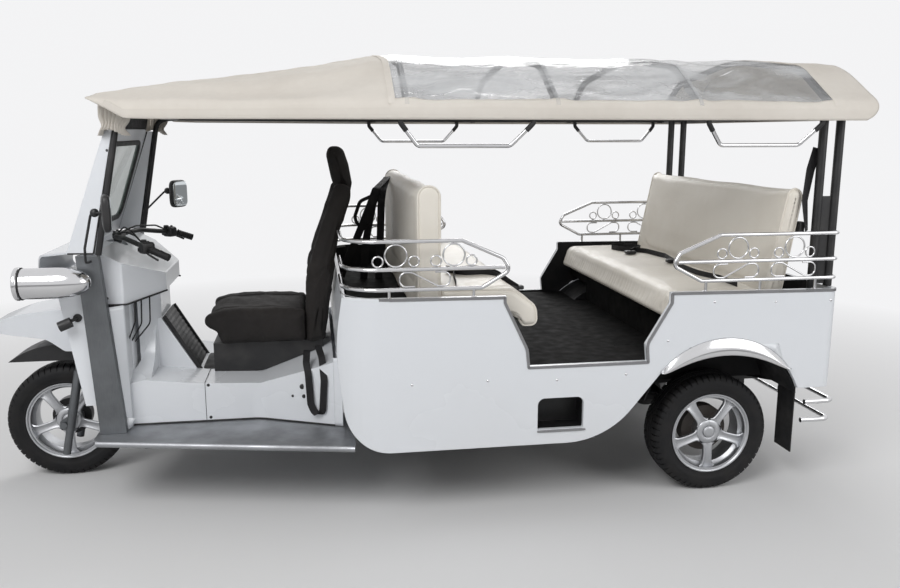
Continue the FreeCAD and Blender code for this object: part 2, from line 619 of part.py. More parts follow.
# Steering head with its neck tubes
head = [rod((steer_x(HEAD_LOW_Z), 0, HEAD_LOW_Z), (steer_x(HEAD_TOP_Z), 0, HEAD_TOP_Z), 30.0)]
for side in (-1, 1):
    head.append(pipe([(steer_x(840) + 5, side * 18, 840), (322, side * 120, 740), (322, side * 326, FRAME_TOP_Z - 12)], 19.0, 60.0))
head = fuse(head).cut(box(200, 400, -400, 400, 200, FRAME_TOP_Z + SEAT_GAP))
head = head.cut(rod((steer_x(600), 0, 600), (steer_x(1000), 0, 1000), STEM_BORE_R))
save("steering_head", head)

# Tow eye on the rear cross member, its hole upright
tow = prism([(3320 + SEAT_GAP, -44), (3372, -26, 26), (3400, -26, 26), (3400, 26, 26), (3372, 26, 26), (3320 + SEAT_GAP, 44)],
            "xy", TOW_EYE_Z - 7, TOW_EYE_Z + 7)
tow = tow.cut(rod((TOW_EYE_X, 0, TOW_EYE_Z - 20), (TOW_EYE_X, 0, TOW_EYE_Z + 20), TOW_EYE_R))
save("tow_eye", tow)

# Energy pack between floor and frame
save("energy_pack", box(1660, 2370, -298, 298, 310.3, floor_low - SEAT_GAP))

# Rear axle with its gear case, drive motor and leaf springs
gear_case = flat_turned([(0, -44), (46, -44), (104, 20), (104, 100), (46, 164), (0, 164)], "y", LAMP_SIDES)
gear_case.translate(V(WHEELBASE, 0, AXLE_Z))
axle = [rod((WHEELBASE, -REAR_WHEEL_Y + 72, AXLE_Z), (WHEELBASE, REAR_WHEEL_Y - 72, AXLE_Z), 32.0),
        rod((WHEELBASE, -REAR_WHEEL_Y - 18, AXLE_Z), (WHEELBASE, REAR_WHEEL_Y + 18, AXLE_Z), 18.0),
        gear_case,
        rod((WHEELBASE - 260, 60, AXLE_Z + 10), (WHEELBASE, 60, AXLE_Z), 78.0)]
save("rear_axle", fuse(axle))
springs = []
for side in (-1, 1):
    y0, y1 = sorted((side * 305, side * 355))
    arc = prism([(2560, 372), (2620, 344, 120), (2830, 302, 300), (2928, 302, 300), (3140, 344, 120), (3220, 372),
                 (3220, 388), (3140, 360, 120), (2928, 330, 300), (2830, 330, 300), (2620, 360, 120), (2560, 388)],
                "xz", y0, y1)
    hangers = [box(2560, 2590, y0, y1, 372, 405), box(3190, 3220, y0, y1, 372, 399.7)]
    seat = box(2850, 2908, y0, y1, 290, 310)
    springs.append(fuse([arc, seat] + hangers))
spring_cut = rod((WHEELBASE, -600, AXLE_Z), (WHEELBASE, 600, AXLE_Z), 32.3)
springs = [s.cut(spring_cut).cut(prism([(2420, 310), (2560, 462), (2600, 462), (2600, 399.7), (2450, 250)], "xz", -400, 400)) for s in springs]
save("leaf_springs", Part.makeCompound(springs))

# Running boards with a rounded outer lip
board = prism([(232, -361), (232, -560, 40), (1300, -790, 20), (1300, -361)], "xy", BOARD_Z - BOARD_T, BOARD_Z)
lip_z = BOARD_Z - BOARD_LIP_R
lip = rod((246, -556, lip_z), (1298, -783, lip_z), BOARD_LIP_R)
board = fuse([board, lip])
save("running_boards", both([board]))

# Moulded floor console with the column shroud and the slanted tunnel
CONSOLE_TOP = ((415, 535, 20), (640, 510, 300), (905, 500, 80), (1150, 590, 60), (1224, 620))


def console_top(x):
    for (x0, z0, *_), (x1, z1, *_) in zip(CONSOLE_TOP, CONSOLE_TOP[1:]):
        if x <= x1:
            return z0 + (z1 - z0) * (x - x0) / (x1 - x0)
    return CONSOLE_TOP[-1][1]


def console_block(inset, low_z):
    front = SHIELD_X + SHIELD_T + SEAT_GAP + inset
    top = [(x, z - inset, *r) for x, z, *r in CONSOLE_TOP[:-1]]
    side = prism([(front, low_z), (front, 524 - inset, 10)] + top + [(1224 - inset, 620 - inset), (1224 - inset, low_z)],
                 "xz", -560, 560)
    plan = [(front, CONSOLE_HALF_W - inset), (900, CONSOLE_HALF_W - inset, 200), (1224 - inset, 530 - inset)]
    plan = [(x, -y, *r) for x, y, *r in reversed(plan)] + plan
    return side.common(prism(plan, "xy", low_z, 700))


def column_block(inset, low_z):
    front = SHIELD_X + SHIELD_T + SEAT_GAP + inset
    plan = [(front, 300 - inset), (400, 215 - inset, 20), (462 - inset, COLUMN_HALF_W - inset, 20)]
    plan = [(x, -y, *r) for x, y, *r in reversed(plan)] + plan
    top = DASH_LOW_Z - SEAT_GAP
    column = prism(plan, "xy", low_z, 950)
    side = [(front, low_z), (front, top - inset), (372, top - inset), (503, top - inset + 20), (503, low_z)]
    column = column.common(prism(side, "xz", -400, 400))
    tunnel = prism([(front, low_z), (front, 758 - inset), (462 - inset, 758 - inset, 8), (472 - inset, 742 - inset),
                    (628 - inset, 480), (628 - inset, low_z)], "xz", -TUNNEL_HALF_W + inset, TUNNEL_HALF_W - inset)
    skirt = [(CONSOLE_HALF_W - inset, 500 - inset), (CONSOLE_HALF_W - inset, 512 - inset), (235 - inset, 600 - inset, 120),
             (TUNNEL_HALF_W - inset, 748 - inset)]
    skirt = [(-y, z, *r) for y, z, *r in skirt] + [(y, z, *r) for y, z, *r in reversed(skirt)]
    skirt = prism(skirt, "yz", front, 440 - inset)
    return column.fuse([tunnel, skirt])


console = console_block(0, CONSOLE_LOW_Z).fuse(column_block(0, 480))
console = console.cut(console_block(8, 300)).cut(column_block(7, 400))
save("floor_console", console.removeSplitter())

# Front wall behind the wheel and dash cowl above it
wall = box(SHIELD_X + SEAT_GAP, SHIELD_X + SHIELD_T, -400, 400, CONSOLE_LOW_Z, DASH_LOW_Z - SEAT_GAP)
wall = wall.cut(box(300, 380, -120, 120, 300, 800))
save("leg_shield", wall)


def dash_block(inset):
    t = inset
    side = prism([(203.3, 1099), (268, 1099, 10), (503, 974, 12), (503, DASH_LOW_Z + 20, 8), (372, DASH_LOW_Z),
                  (262, DASH_LOW_Z), (262, 1068), (203.3, 1080)], "xz", -500, 500)
    if t:
        side = prism([(262 + t, 1084), (270, 1099 - t - 4, 6), (503 - t, 974 - t, 8), (503 - t, DASH_LOW_Z + 20 + t, 4),
                      (372, DASH_LOW_Z + t), (262 + t, DASH_LOW_Z + t)], "xz", -500, 500)
    plan = [(200, 400 - t), (360, 400 - t, 15), (503 - t, 190 - t * 0.6, 25)]
    plan = [(x, -y, *r) for x, y, *r in reversed(plan)] + plan
    return side.common(prism(plan, "xy", 800, 1200))


dash = dash_block(0).cut(dash_block(6)).cut(rod((steer_x(980), 0, 980), (steer_x(1150), 0, 1150), 46.0))
save("dash_cowl", dash)

# Steel uprights on both sides of the cab
upright = prism([(204, 1094), (292, 1094), (352, BOARD_Z + SEAT_GAP), (245, BOARD_Z + SEAT_GAP)], "xz", -CAB_HALF_W, -440)
upright = upright.cut(prism([(215, 1100), (279, 1100), (338, 300), (258, 300)], "xz", -CAB_HALF_W + 5, -400))
save("uprights", both([upright]))

# Front apron with the wheel opening, and nose cowl
def upright_front(z):
    return 204 + (1094 - z) * 41 / 759


apron = prism([(121, 925), (123, 950), (upright_front(950) - SEAT_GAP, 950), (upright_front(458) - SEAT_GAP, 458), (193, 458)],
              "xz", -462, 462)
apron = apron.cut(prism([(127, 1000), (260, 1000), (260, 400), (200, 400)], "xz", -456, 456))
apron = apron.cut(prism([(-212, 400), (-212, 700, 70), (-46, 700), (-46, 812), (46, 812), (46, 700), (212, 700, 70),
                         (212, 400)], "yz", 100, 300))
nose = prism([(203, 1099), (150, 1099, 100), (10, 1078, 36), (-17, 975, 60), (2, 938, 24), (203, 936)], "xz", -430, 430)
nose_in = prism([(210, 1091), (150, 1091, 94), (17, 1071, 30), (-9, 975, 54), (8, 946, 18), (210, 944)], "xz", -422, 422)
nose_fill = nose.cut(box(-100, 300, -500, 500, 800, 936.5))
nose_plan = prism([(-17, -300, 180), (-17, 300, 180), (203, 430, 60), (203, -430, 60)], "xy", 900, 1200)
nose = nose.cut(nose_in).common(nose_plan)
nose = nose.cut(rod((steer_x(900), 0, 900), (steer_x(1150), 0, 1150), 46.0))
save("front_cowl", fuse([apron.cut(nose_fill), nose]))


# Windscreen frame with cheeks, glass and seal
def screen_x(z):
    return SCREEN_LOW_X + (z - SCREEN_LOW_Z) * (SCREEN_TOP_X - SCREEN_LOW_X) / (SCREEN_TOP_Z - SCREEN_LOW_Z)


def screen_prism(points, depth0, depth1):
    lean = math.atan2(SCREEN_TOP_X - SCREEN_LOW_X, SCREEN_TOP_Z - SCREEN_LOW_Z)
    flat = prism([(y, z / math.cos(lean), *rest) for y, z, *rest in points], "yz", depth0, depth1)
    flat.rotate(V(0, 0, 0), V(0, 1, 0), math.degrees(lean))
    flat.translate(V(SCREEN_LOW_X, 0, SCREEN_LOW_Z))
    return flat


screen_h = SCREEN_TOP_Z - SCREEN_LOW_Z
frame_outer = [(-470, 2), (470, 2), (SCREEN_TOP_HALF_W + 10, screen_h, 60), (-SCREEN_TOP_HALF_W - 10, screen_h, 60)]
frame_hole = [(-400, 70, 60), (400, 70, 60), (360, screen_h - 55, 60), (-360, screen_h - 55, 60)]
screen_frame = screen_prism(frame_outer, 0, 6).cut(screen_prism(frame_hole, -20, 30))
cheeks = []
for side in (-1, 1):
    low = Part.Wire(Part.makePolygon([V(screen_x(1102) + 2, side * 464, 1102), V(screen_x(1102) + 105, side * 474, 1102),
                                      V(screen_x(1102) + 105, side * 479, 1102), V(screen_x(1102) + 2, side * 470, 1102),
                                      V(screen_x(1102) + 2, side * 464, 1102)]))
    top = Part.Wire(Part.makePolygon([V(screen_x(1590) + 2, side * 434, 1590), V(screen_x(1590) + 32, side * 443, 1590),
                                      V(screen_x(1590) + 32, side * 448, 1590), V(screen_x(1590) + 2, side * 440, 1590),
                                      V(screen_x(1590) + 2, side * 434, 1590)]))
    cheeks.append(Part.makeLoft([low, top], True, True))
save("windscreen_frame", fuse([screen_frame] + cheeks))
seal_hole = [(-385, 85, 50), (385, 85, 50), (346, screen_h - 68, 50), (-346, screen_h - 68, 50)]
seal_out = [(-399.7, 70.3, 60), (399.7, 70.3, 60), (359.7, screen_h - 55.3, 60), (-359.7, screen_h - 55.3, 60)]
save("windscreen_seal", screen_prism(seal_out, -4, 12).cut(screen_prism(seal_hole, -30, 40)))
glass_out = [(-384.7, 85.3, 50), (384.7, 85.3, 50), (345.7, screen_h - 68.3, 50), (-345.7, screen_h - 68.3, 50)]
save("windscreen_glass", screen_prism(glass_out, 1, 6))

# Bullet headlamps on both sides of the nose: (radius, station) turned about the lamp's long axis
def lamp_turned(outline):
    shape = flat_turned(outline, "x", LAMP_SIDES)
    shape.translate(V(0, -LAMP_Y, LAMP_Z))
    return shape


shell = lamp_turned([(LAMP_R - 4, -5), (LAMP_R + 3, -5), (LAMP_R + 3, 12), (LAMP_R, 12), (LAMP_R, 205), (LAMP_R - 15, 244),
                     (LAMP_R - 37, 267), (0, 276), (0, 22), (LAMP_R - 4, 22)])
shell = fuse([shell, rod((226, -LAMP_Y, LAMP_Z), (226, -CAB_HALF_W - SEAT_GAP, LAMP_Z), 15.0)])
save("headlamp_shells", both([shell]))
lens_r = LAMP_R - 4 - SEAT_GAP
save("headlamp_lenses", both([lamp_turned([(0, 0), (lens_r - 12, 0), (lens_r, 4), (lens_r, 21.7), (0, 21.7)])]))

# Indicators on short stalks
stalk = rod((188, -467, 836), (160, -505, 828), 7.0).fuse(rod((190, -462.3, 837), (190, -468, 837), 17.0))
bulb = rod((130, -515, 812), (176, -507, 830), 21.0)
save("indicators", both([fuse([stalk, bulb])]))

# Mirrors on bent arms: arm points, head centre and the angle to which each is set
mirrors = []
for side, arm_points, centre, turn in (
        (-1, ((262, 480.3, 1072), (262, 510, 1072), (264, 560, 1080), (275, 600, 1140), (308, 602, 1277), (356, 622, 1280)), (373, 640, 1280), 15),
        (1, ((262, 480.3, 1072), (262, 510, 1072), (264, 560, 1082), (268, 606, 1164), (386, 618, 1279), (436, 622, 1270)), (452, 628, 1265), 35)):
    arm = pipe([(x, side * y, z) for x, y, z in arm_points], 5.0, 18.0)
    head = prism([(-58, -72, 30), (-58, 72, 30), (58, 72, 30), (58, -72, 30)], "yz", -17, 17)
    head.rotate(V(0, 0, 0), V(0, 0, 1), -side * turn)
    head.translate(V(centre[0], side * centre[1], centre[2]))
    mirrors.append(fuse([arm, head]))
save("mirrors", Part.makeCompound(mirrors))

# Driver seat on its base
base_top = SEAT_BASE_TOP_Z - SEAT_GAP
seat_base = prism([(690, base_top), (690, console_top(690) + SEAT_GAP), (880, console_top(880) + 1.2),
                   (925, console_top(925) + 1.2), (1140, console_top(1140) + 1.2), (1185, console_top(1185) + 1.2),
                   (1185, base_top)], "xz", -190, 190)
save("driver_seat_base", seat_base)
seat_cushion = prism([(735, SEAT_BASE_TOP_Z), (705, 700, 60), (655, 748, 24), (656, 792, 26), (740, 812, 100), (930, 815, 400),
                      (1110, 798, 20), (1110, SEAT_BASE_TOP_Z)], "xz", -245, 245)
save("driver_seat_cushion", seat_cushion)
seat_back = prism([(1110.3, SEAT_BASE_TOP_Z), (1114, 829, 100), (1128, 967, 300), (1224, 1229, 300), (1262, 1348, 30),
                   (1330, 1362, 25), (1333, 1287, 100), (1262, 1131, 300), (1245, 970, 300), (1226, 833, 100),
                   (1200, SEAT_BASE_TOP_Z)], "xz", -235, 235)
head_rest = prism([(1262, 1320), (1246, 1373, 40), (1225, 1485, 60), (1240, 1521, 22), (1300, 1521, 30), (1326, 1442, 60),
                   (1342, 1353, 8), (1330, 1300)], "xz", -130, 130)
save("driver_seat_back", fuse([seat_back, head_rest]))


# Cross-section of the canopy: skirt, curved shoulders and crown
def roof_block(x0, x1, shrink):
    w = ROOF_HALF_W - shrink
    pts = [(-w, ROOF_EDGE_Z - shrink), (-w, ROOF_SKIRT_Z, 60), (-w * 0.7, 1872 - shrink, 200), (0, ROOF_TOP_Z + 12 - shrink, 1600),
           (w * 0.7, 1872 - shrink, 200), (w, ROOF_SKIRT_Z, 60), (w, ROOF_EDGE_Z - shrink)]
    return prism(pts, "yz", x0, x1)


# Roof frame: side tubes, front posts of the cab and bowed bars under the skin
ROOF_RAIL_Y = ROOF_HALF_W - ROOF_SKIN - SEAT_GAP - ROOF_TUBE_R
ROOF_RAIL_Z = 1655.0
ROOF_END_X = ROOF_BACK_X - 56
frame = []
for side in (-1, 1):
    frame.append(pipe([(292.7, side * 474, 1096.7), (399, side * 446, 1648), (490, side * 466, ROOF_RAIL_Z),
                       (1490, side * ROOF_RAIL_Y, ROOF_RAIL_Z), (ROOF_END_X, side * ROOF_RAIL_Y, ROOF_RAIL_Z)],
                      ROOF_TUBE_R, 44.0))
for x in (1512, 2090, 2670, 3238):
    bow = roof_block(x - 12, x + 12, ROOF_SKIN + SEAT_GAP).cut(roof_block(x - 20, x + 20, ROOF_SKIN + SEAT_GAP + 24))
    frame.append(bow)
frame.append(rod((ROOF_END_X, -ROOF_RAIL_Y, ROOF_RAIL_Z), (ROOF_END_X, ROOF_RAIL_Y, ROOF_RAIL_Z), ROOF_TUBE_R))
frame.append(rod((490, -466, ROOF_RAIL_Z), (490, 466, ROOF_RAIL_Z), ROOF_TUBE_R))
save("roof_frame", fuse(frame))

# Rear posts in pairs
post = fuse([rod((3270, -762, 803.4), (3270, -762, 1660), 18.0), rod((3346, -762, 934.6), (3346, -762, 1660), 18.0),
             box(3262, 3350, -765, -759, 945, 1320),
             rod((3270, -762, ROOF_RAIL_Z), (3270, -ROOF_RAIL_Y + ROOF_TUBE_R + SEAT_GAP, ROOF_RAIL_Z), 12.0)])
save("rear_posts", both([post]))

# Grab hoops under the roof edge
hoops = []
for x0, x1 in ((1487, 1996), (2708, 3197)):
    hoop_top = ROOF_RAIL_Z - ROOF_TUBE_R - SEAT_GAP
    hoop = pipe([(x0, -ROOF_RAIL_Y, hoop_top), (x0, -ROOF_RAIL_Y, hoop_top - 22), (x0 + 68, -ROOF_RAIL_Y + 30, 1534),
                 (x1 - 83, -ROOF_RAIL_Y + 30, 1534), (x1, -ROOF_RAIL_Y, hoop_top - 22), (x1, -ROOF_RAIL_Y, hoop_top)], 8.0, 28.0)
    hoops.append(hoop)
save("grab_hoops", both(hoops))


# Canopy skin: lofted front, clear middle with a cloth border, closed rear
def front_wire(x, w, edge_z, skirt_z, shoulder_z, top_z):
    pts = [V(x, -w, edge_z), V(x, -w, skirt_z), V(x, -w * 0.7, shoulder_z), V(x, 0, top_z), V(x, w * 0.7, shoulder_z),
           V(x, w, skirt_z), V(x, w, edge_z)]
    return Part.Wire(Part.makePolygon(pts + [pts[0]]))


def front_block(shrink):
    s = shrink
    a = front_wire(ROOF_CLEAR_X0 + (5 if s else 0), ROOF_HALF_W - s, ROOF_EDGE_Z - s * 4, ROOF_SKIRT_Z, 1852 - s, ROOF_TOP_Z - s)
    m = front_wire(ROOF_FRONT_X + 250, 640 - s, ROOF_EDGE_Z + 3 - s * 4, 1700 - s, 1765 - s, 1815 - s)
    b = front_wire(ROOF_FRONT_X + s, 560 - s, 1698 - s * 4, 1712 - s, 1750 - s, 1782 - s)
    return Part.makeLoft([b, m, a], True, True)


def roof_end(shrink, x0):
    back = ROOF_BACK_X - shrink
    outline = prism([(x0 - 10, ROOF_EDGE_Z - 60), (x0 - 10, ROOF_TOP_Z + 30), (back, ROOF_TOP_Z + 2 - shrink, 150 - shrink),
                     (back, ROOF_EDGE_Z - 2, 62 - shrink)], "xz", -1000, 1000)
    return roof_block(x0, back, shrink).common(outline)


front_skin = front_block(0).cut(front_block(ROOF_SKIN))
middle_skin = roof_block(ROOF_CLEAR_X0, ROOF_CLEAR_X1, 0).cut(roof_block(ROOF_CLEAR_X0 - 5, ROOF_CLEAR_X1 + 5, ROOF_SKIN))
back_skin = roof_end(0, ROOF_CLEAR_X1).cut(roof_end(ROOF_SKIN, ROOF_CLEAR_X1 - 5))
border = box(ROOF_CLEAR_X0, ROOF_CLEAR_X1, -1000, 1000, 1500, ROOF_SKIRT_Z)
save("canopy_cloth", fuse([front_skin, middle_skin.common(border), back_skin]))
save("canopy_windows", middle_skin.cut(border))

# Rear bumper of bright tube
bumper = []
for z, reach in ((402, 0), (317, 12)):
    x = TAIL_X - BUMPER_R - reach
    y_end = BUMPER_HALF_W - BUMPER_R
    bumper.append(pipe([(x - 140, -y_end, z), (x, -y_end, z), (x, y_end, z), (x - 140, y_end, z)], BUMPER_R, 34.0))
for side in (-1, 1):
    y = side * 330
    bumper.append(pipe([(3330 + SEAT_GAP, y, 430), (3380, y, 430), (TAIL_X - 18, y, 398), (TAIL_X - 26, y, 312)], BUMPER_R, 20.0))
save("rear_bumper", fuse(bumper))

# Mudflaps behind the rear wheels
flap = box(3258, 3264, -722, -590, 160, 560)
save("mudflaps", both([flap]))

# Tail lamps
lamp = box(TUB_BACK_X + SEAT_GAP, TUB_BACK_X + 26, -620, -540, 640, 820)
save("tail_lamps", both([lamp]))
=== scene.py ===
# %% [markdown]
# # An auto rickshaw, dressed for its portrait
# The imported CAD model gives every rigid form. This lesson puts the looks on it: round tubes, soft
# cushions, a stretched canopy, and a finish for every surface. What could be sculpted by hand is
# worked out from numbers instead, so that one value can be changed and the rest follows.
# Stations are named in millimetres from the front axle, as on the CAD, and turned into metres.

# %% The frame
import bpy
import bmesh
import json
import math
import numpy as np
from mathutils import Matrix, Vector

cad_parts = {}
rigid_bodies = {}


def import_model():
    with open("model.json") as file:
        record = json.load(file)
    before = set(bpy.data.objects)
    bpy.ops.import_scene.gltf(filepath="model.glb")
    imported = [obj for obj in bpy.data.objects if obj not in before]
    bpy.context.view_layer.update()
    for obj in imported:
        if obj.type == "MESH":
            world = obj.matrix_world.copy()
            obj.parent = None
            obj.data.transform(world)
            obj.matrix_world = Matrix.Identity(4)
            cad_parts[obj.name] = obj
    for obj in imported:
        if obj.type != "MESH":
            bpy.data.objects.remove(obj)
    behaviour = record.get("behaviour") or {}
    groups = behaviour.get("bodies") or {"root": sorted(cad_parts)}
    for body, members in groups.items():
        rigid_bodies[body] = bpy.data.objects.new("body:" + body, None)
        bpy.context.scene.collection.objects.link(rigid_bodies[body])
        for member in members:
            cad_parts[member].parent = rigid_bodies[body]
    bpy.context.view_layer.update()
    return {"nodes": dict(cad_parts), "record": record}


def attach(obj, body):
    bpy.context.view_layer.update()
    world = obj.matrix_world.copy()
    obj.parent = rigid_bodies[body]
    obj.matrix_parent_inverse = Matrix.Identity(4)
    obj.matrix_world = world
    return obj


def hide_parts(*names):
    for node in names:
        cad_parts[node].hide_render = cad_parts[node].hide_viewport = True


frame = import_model()
record = frame["record"]
bodies = record["behaviour"]["bodies"]
body_of = {node: body for body, nodes in bodies.items() for node in nodes}
slot_of = {part["node"]: part["material_slot"] for part in record["subparts"]}
FRONT_AXLE_X = -1.570


def at(points):
    """Stations in mm (x from the front axle, y, z) to metres in the shared frame."""
    return np.asarray(points, float) / 1000 + np.array([FRONT_AXLE_X, 0, 0])


# %% [markdown]
# ## Camera, floor and light
# The photograph was taken from the left, a little above the benches' height, with a wide lens.
# The camera's place was worked out from where the body's long and cross edges meet in the picture,
# and its distance from the known size of the rear tyre.
# A studio floor and a pale world give a plain ground. Three large soft lamps keep the white paint
# below white, and the world shows itself to the camera and to mirrors as pale as the floor.

# %% Camera
CAMERA_PLACE = (-0.4131, -4.0238, 1.5855)
CAMERA_YAW = 0.1621
CAMERA_PITCH = 0.1908
CAMERA_LENS = 33.5

lens = bpy.data.cameras.new("camera")
lens.lens = CAMERA_LENS
lens.sensor_fit = "HORIZONTAL"
camera = bpy.data.objects.new("camera", lens)
camera.location = CAMERA_PLACE
camera.rotation_euler = (math.pi / 2 - CAMERA_PITCH, 0, -CAMERA_YAW)
bpy.context.collection.objects.link(camera)
bpy.context.scene.camera = camera
bpy.context.scene.view_settings.view_transform = "Standard"


# %% Lamps
def lamp(name, place, target, size, watts):
    """Round area lamp that looks from its place to its target."""
    light = bpy.data.lights.new(name, "AREA")
    light.shape = "DISK"
    light.size = size
    light.energy = watts
    thing = bpy.data.objects.new(name, light)
    thing.location = place
    way = np.subtract(target, place)
    flat = math.hypot(way[0], way[1])
    thing.rotation_euler = (math.atan2(flat, -way[2]), 0, math.atan2(-way[0], way[1]))
    bpy.context.collection.objects.link(thing)
    return thing


lamp("key", (-2.6, -4.2, 4.6), (-0.2, 0, 0.7), 3.2, 165)
lamp("fill", (3.6, -3.4, 2.6), (0.3, 0, 0.8), 3.0, 50)
lamp("back", (1.2, 4.2, 3.6), (0, 0, 1.2), 3.2, 120)
print("camera at", CAMERA_PLACE, "and", len(bpy.data.lights), "lamps")


# %% [markdown]
# ## Finishes
# A finish is a Principled shader with its own small net of nodes. Writing the net as Python sums
# keeps it readable: `Value` wraps a socket, and `1 - mask * 0.4` adds the Math nodes by itself.

# %% Shader sums
class Value:
    """A number or a colour that a shader works out."""

    def __init__(self, finish, socket):
        self.finish = finish
        self.socket = socket

    def _sum(self, operation, first, second):
        return self.finish.node("ShaderNodeMath", {"operation": operation}, {0: first, 1: second})

    def __add__(self, other):
        return self._sum("ADD", self, other)

    def __radd__(self, other):
        return self._sum("ADD", other, self)

    def __sub__(self, other):
        return self._sum("SUBTRACT", self, other)

    def __rsub__(self, other):
        return self._sum("SUBTRACT", other, self)

    def __mul__(self, other):
        return self._sum("MULTIPLY", self, other)

    def __rmul__(self, other):
        return self._sum("MULTIPLY", other, self)


class Finish:
    """One material: nodes come from `node`, patterns from the methods below it."""

    def __init__(self, name, colour, roughness, metallic=0.0, **fixed):
        self.material = bpy.data.materials.new(name)
        self.material.use_nodes = True
        self.tree = self.material.node_tree
        self.shader = self.tree.nodes["Principled BSDF"]
        self.set("Base Color", (*colour, 1))
        self.set("Roughness", roughness)
        self.set("Metallic", metallic)
        for socket, value in fixed.items():
            self.set(socket.replace("_", " "), value)

    def set(self, socket, value):
        """A link into the shader for a Value, a fixed number for anything else."""
        if isinstance(value, Value):
            self.tree.links.new(value.socket, self.shader.inputs[socket])
        else:
            self.shader.inputs[socket].default_value = value

    def node(self, kind, settings, inputs, out=0):
        """Any other node: its type, its settings, and the values or links of its sockets."""
        made = self.tree.nodes.new(kind)
        for name, value in settings.items():
            setattr(made, name, value)
        for socket, value in inputs.items():
            if isinstance(value, Value):
                self.tree.links.new(value.socket, made.inputs[socket])
            else:
                made.inputs[socket].default_value = value
        return Value(self, made.outputs[out])

    def here(self):
        """Object coordinates in metres."""
        return self.node("ShaderNodeTexCoord", {}, {}, "Object")

    def place(self, stretch=(1, 1, 1)):
        """Object coordinates times a stretch: a small number draws a pattern out along that axis."""
        return self.node("ShaderNodeMapping", {}, {"Vector": self.here(), "Scale": stretch})

    def height(self):
        """The z of the object coordinates."""
        return self.node("ShaderNodeSeparateXYZ", {}, {"Vector": self.here()}, "Z")

    def noise(self, scale, detail=3, stretch=(1, 1, 1), warp=0.0):
        """Cloudy noise with about `scale` clouds to the metre."""
        return self.node("ShaderNodeTexNoise", {}, {"Vector": self.place(stretch), "Scale": scale,
                                                    "Detail": detail, "Distortion": warp})

    def waves(self, scale, direction):
        """Bands across one axis, as of threads or flutes."""
        return self.node("ShaderNodeTexWave", {"bands_direction": direction},
                         {"Vector": self.place(), "Scale": scale}, 1)

    def cells(self, scale):
        """Distance to the nearest of many scattered points, as of leather grain."""
        return self.node("ShaderNodeTexVoronoi", {}, {"Vector": self.place(), "Scale": scale})

    def between(self, value, low, high, to_low=0.0, to_high=1.0):
        """Carries value from low..high to to_low..to_high, held at both ends."""
        return self.node("ShaderNodeMapRange", {}, {0: value, 1: low, 2: high, 3: to_low, 4: to_high})

    def blend(self, mask, first, second):
        """first where mask is 0 and second where it is 1."""
        colours = {0: mask, 6: (*first, 1), 7: (*second, 1)}
        return self.node("ShaderNodeMix", {"data_type": "RGBA"}, colours, 2)

    def bump(self, height, distance, strength=1.0, under=None):
        """Relief of `distance` metres from a height, over another relief if one is given."""
        inputs = {"Height": height, "Distance": distance, "Strength": strength}
        if under is not None:
            inputs["Normal"] = under
        relief = self.node("ShaderNodeBump", {}, inputs)
        self.set("Normal", relief)
        return relief


# %% Paint, metals
finishes = {}


def paint_finish():
    """White paint under a thin coat; dust lies on it below 0.75 m, more towards the ground."""
    f = Finish("white_paint", (0.8, 0.82, 0.84), 0.24, 0.0, Coat_Roughness=0.08)
    dust = f.between(f.height(), 0.75, 0.3) * f.between(f.noise(1.7, 2), 0.3, 0.8)
    cloud = f.noise(2.6, 5)
    f.set("Base Color", f.blend(dust * 0.22 + cloud * 0.05, (0.76, 0.785, 0.82), (0.6, 0.59, 0.57)))
    f.set("Roughness", f.between(cloud, 0.3, 0.7, 0.22, 0.26) + dust * 0.1)
    f.set("Coat Weight", 0.3)
    f.bump(f.noise(320, 2), 0.0002, 0.25)
    return f


def metal_finish(name, colour, low, high, streak, scratch=0.0001, tint=0.12):
    """Bare metal: fine streaks along one direction, clouds of duller metal over them."""
    f = Finish(name, colour, low, 1.0)
    cloud = f.between(f.noise(7, 5), 0.3, 0.72)
    lines = f.noise(60, 4, streak)
    dark = tuple(c * (1 - tint * 2) for c in colour)
    f.set("Base Color", f.blend(cloud * 0.6 + lines * 0.4, colour, dark))
    f.set("Roughness", f.between(cloud * 0.5 + lines * 0.5, 0.25, 0.75, low, high))
    f.bump(lines, scratch, 0.4)
    return f


def black_finish(name, colour, roughness, grain, depth, dust=0.25):
    """Black paint, plastic or rubber: a fine grain and a little pale dust in its low places."""
    f = Finish(name, colour, roughness)
    powder = f.between(f.noise(11, 6), 0.45, 0.8)
    f.set("Base Color", f.blend(powder * dust, colour, (0.16, 0.15, 0.14)))
    wear = f.between(f.noise(23, 4), 0.3, 0.7, roughness - 0.08, roughness + 0.1)
    f.set("Roughness", wear + powder * dust * 0.3)
    f.bump(f.noise(grain, 3), depth, 0.5)
    return f


METALS = {"chrome": ((0.7, 0.7, 0.71), 0.07, 0.18, (1, 1, 1), 0.00004, 0.05),
          "alloy": ((0.55, 0.56, 0.58), 0.34, 0.5, (1, 1, 1)),
          "grey_steel": ((0.2, 0.21, 0.22), 0.38, 0.6, (9, 9, 0.5), 0.0002, 0.2),
          "worn_aluminium": ((0.45, 0.46, 0.48), 0.36, 0.62, (0.6, 8, 8), 0.0002, 0.22),
          "steel_trim": ((0.34, 0.34, 0.35), 0.26, 0.44, (0.5, 1, 6)),
          "mirror_glass": ((0.7, 0.74, 0.76), 0.02, 0.05, (1, 1, 1), 0.00001, 0.02)}
BLACKS = {"black_steel": ((0.01, 0.01, 0.011), 0.42, 180, 0.0002, 0.14),
          "black_plastic": ((0.011, 0.011, 0.012), 0.46, 420, 0.0002, 0.1),
          "rubber": ((0.009, 0.009, 0.01), 0.64, 260, 0.0002, 0.16),
          "cast_iron": ((0.05, 0.042, 0.036), 0.66, 140, 0.0006, 0.4),
          "lining": ((0.01, 0.01, 0.011), 0.6, 120, 0.0004, 0.1),
          "black_floor": ((0.006, 0.006, 0.006), 0.75, 60, 0.0001, 0.06)}
finishes["white_paint"] = paint_finish()
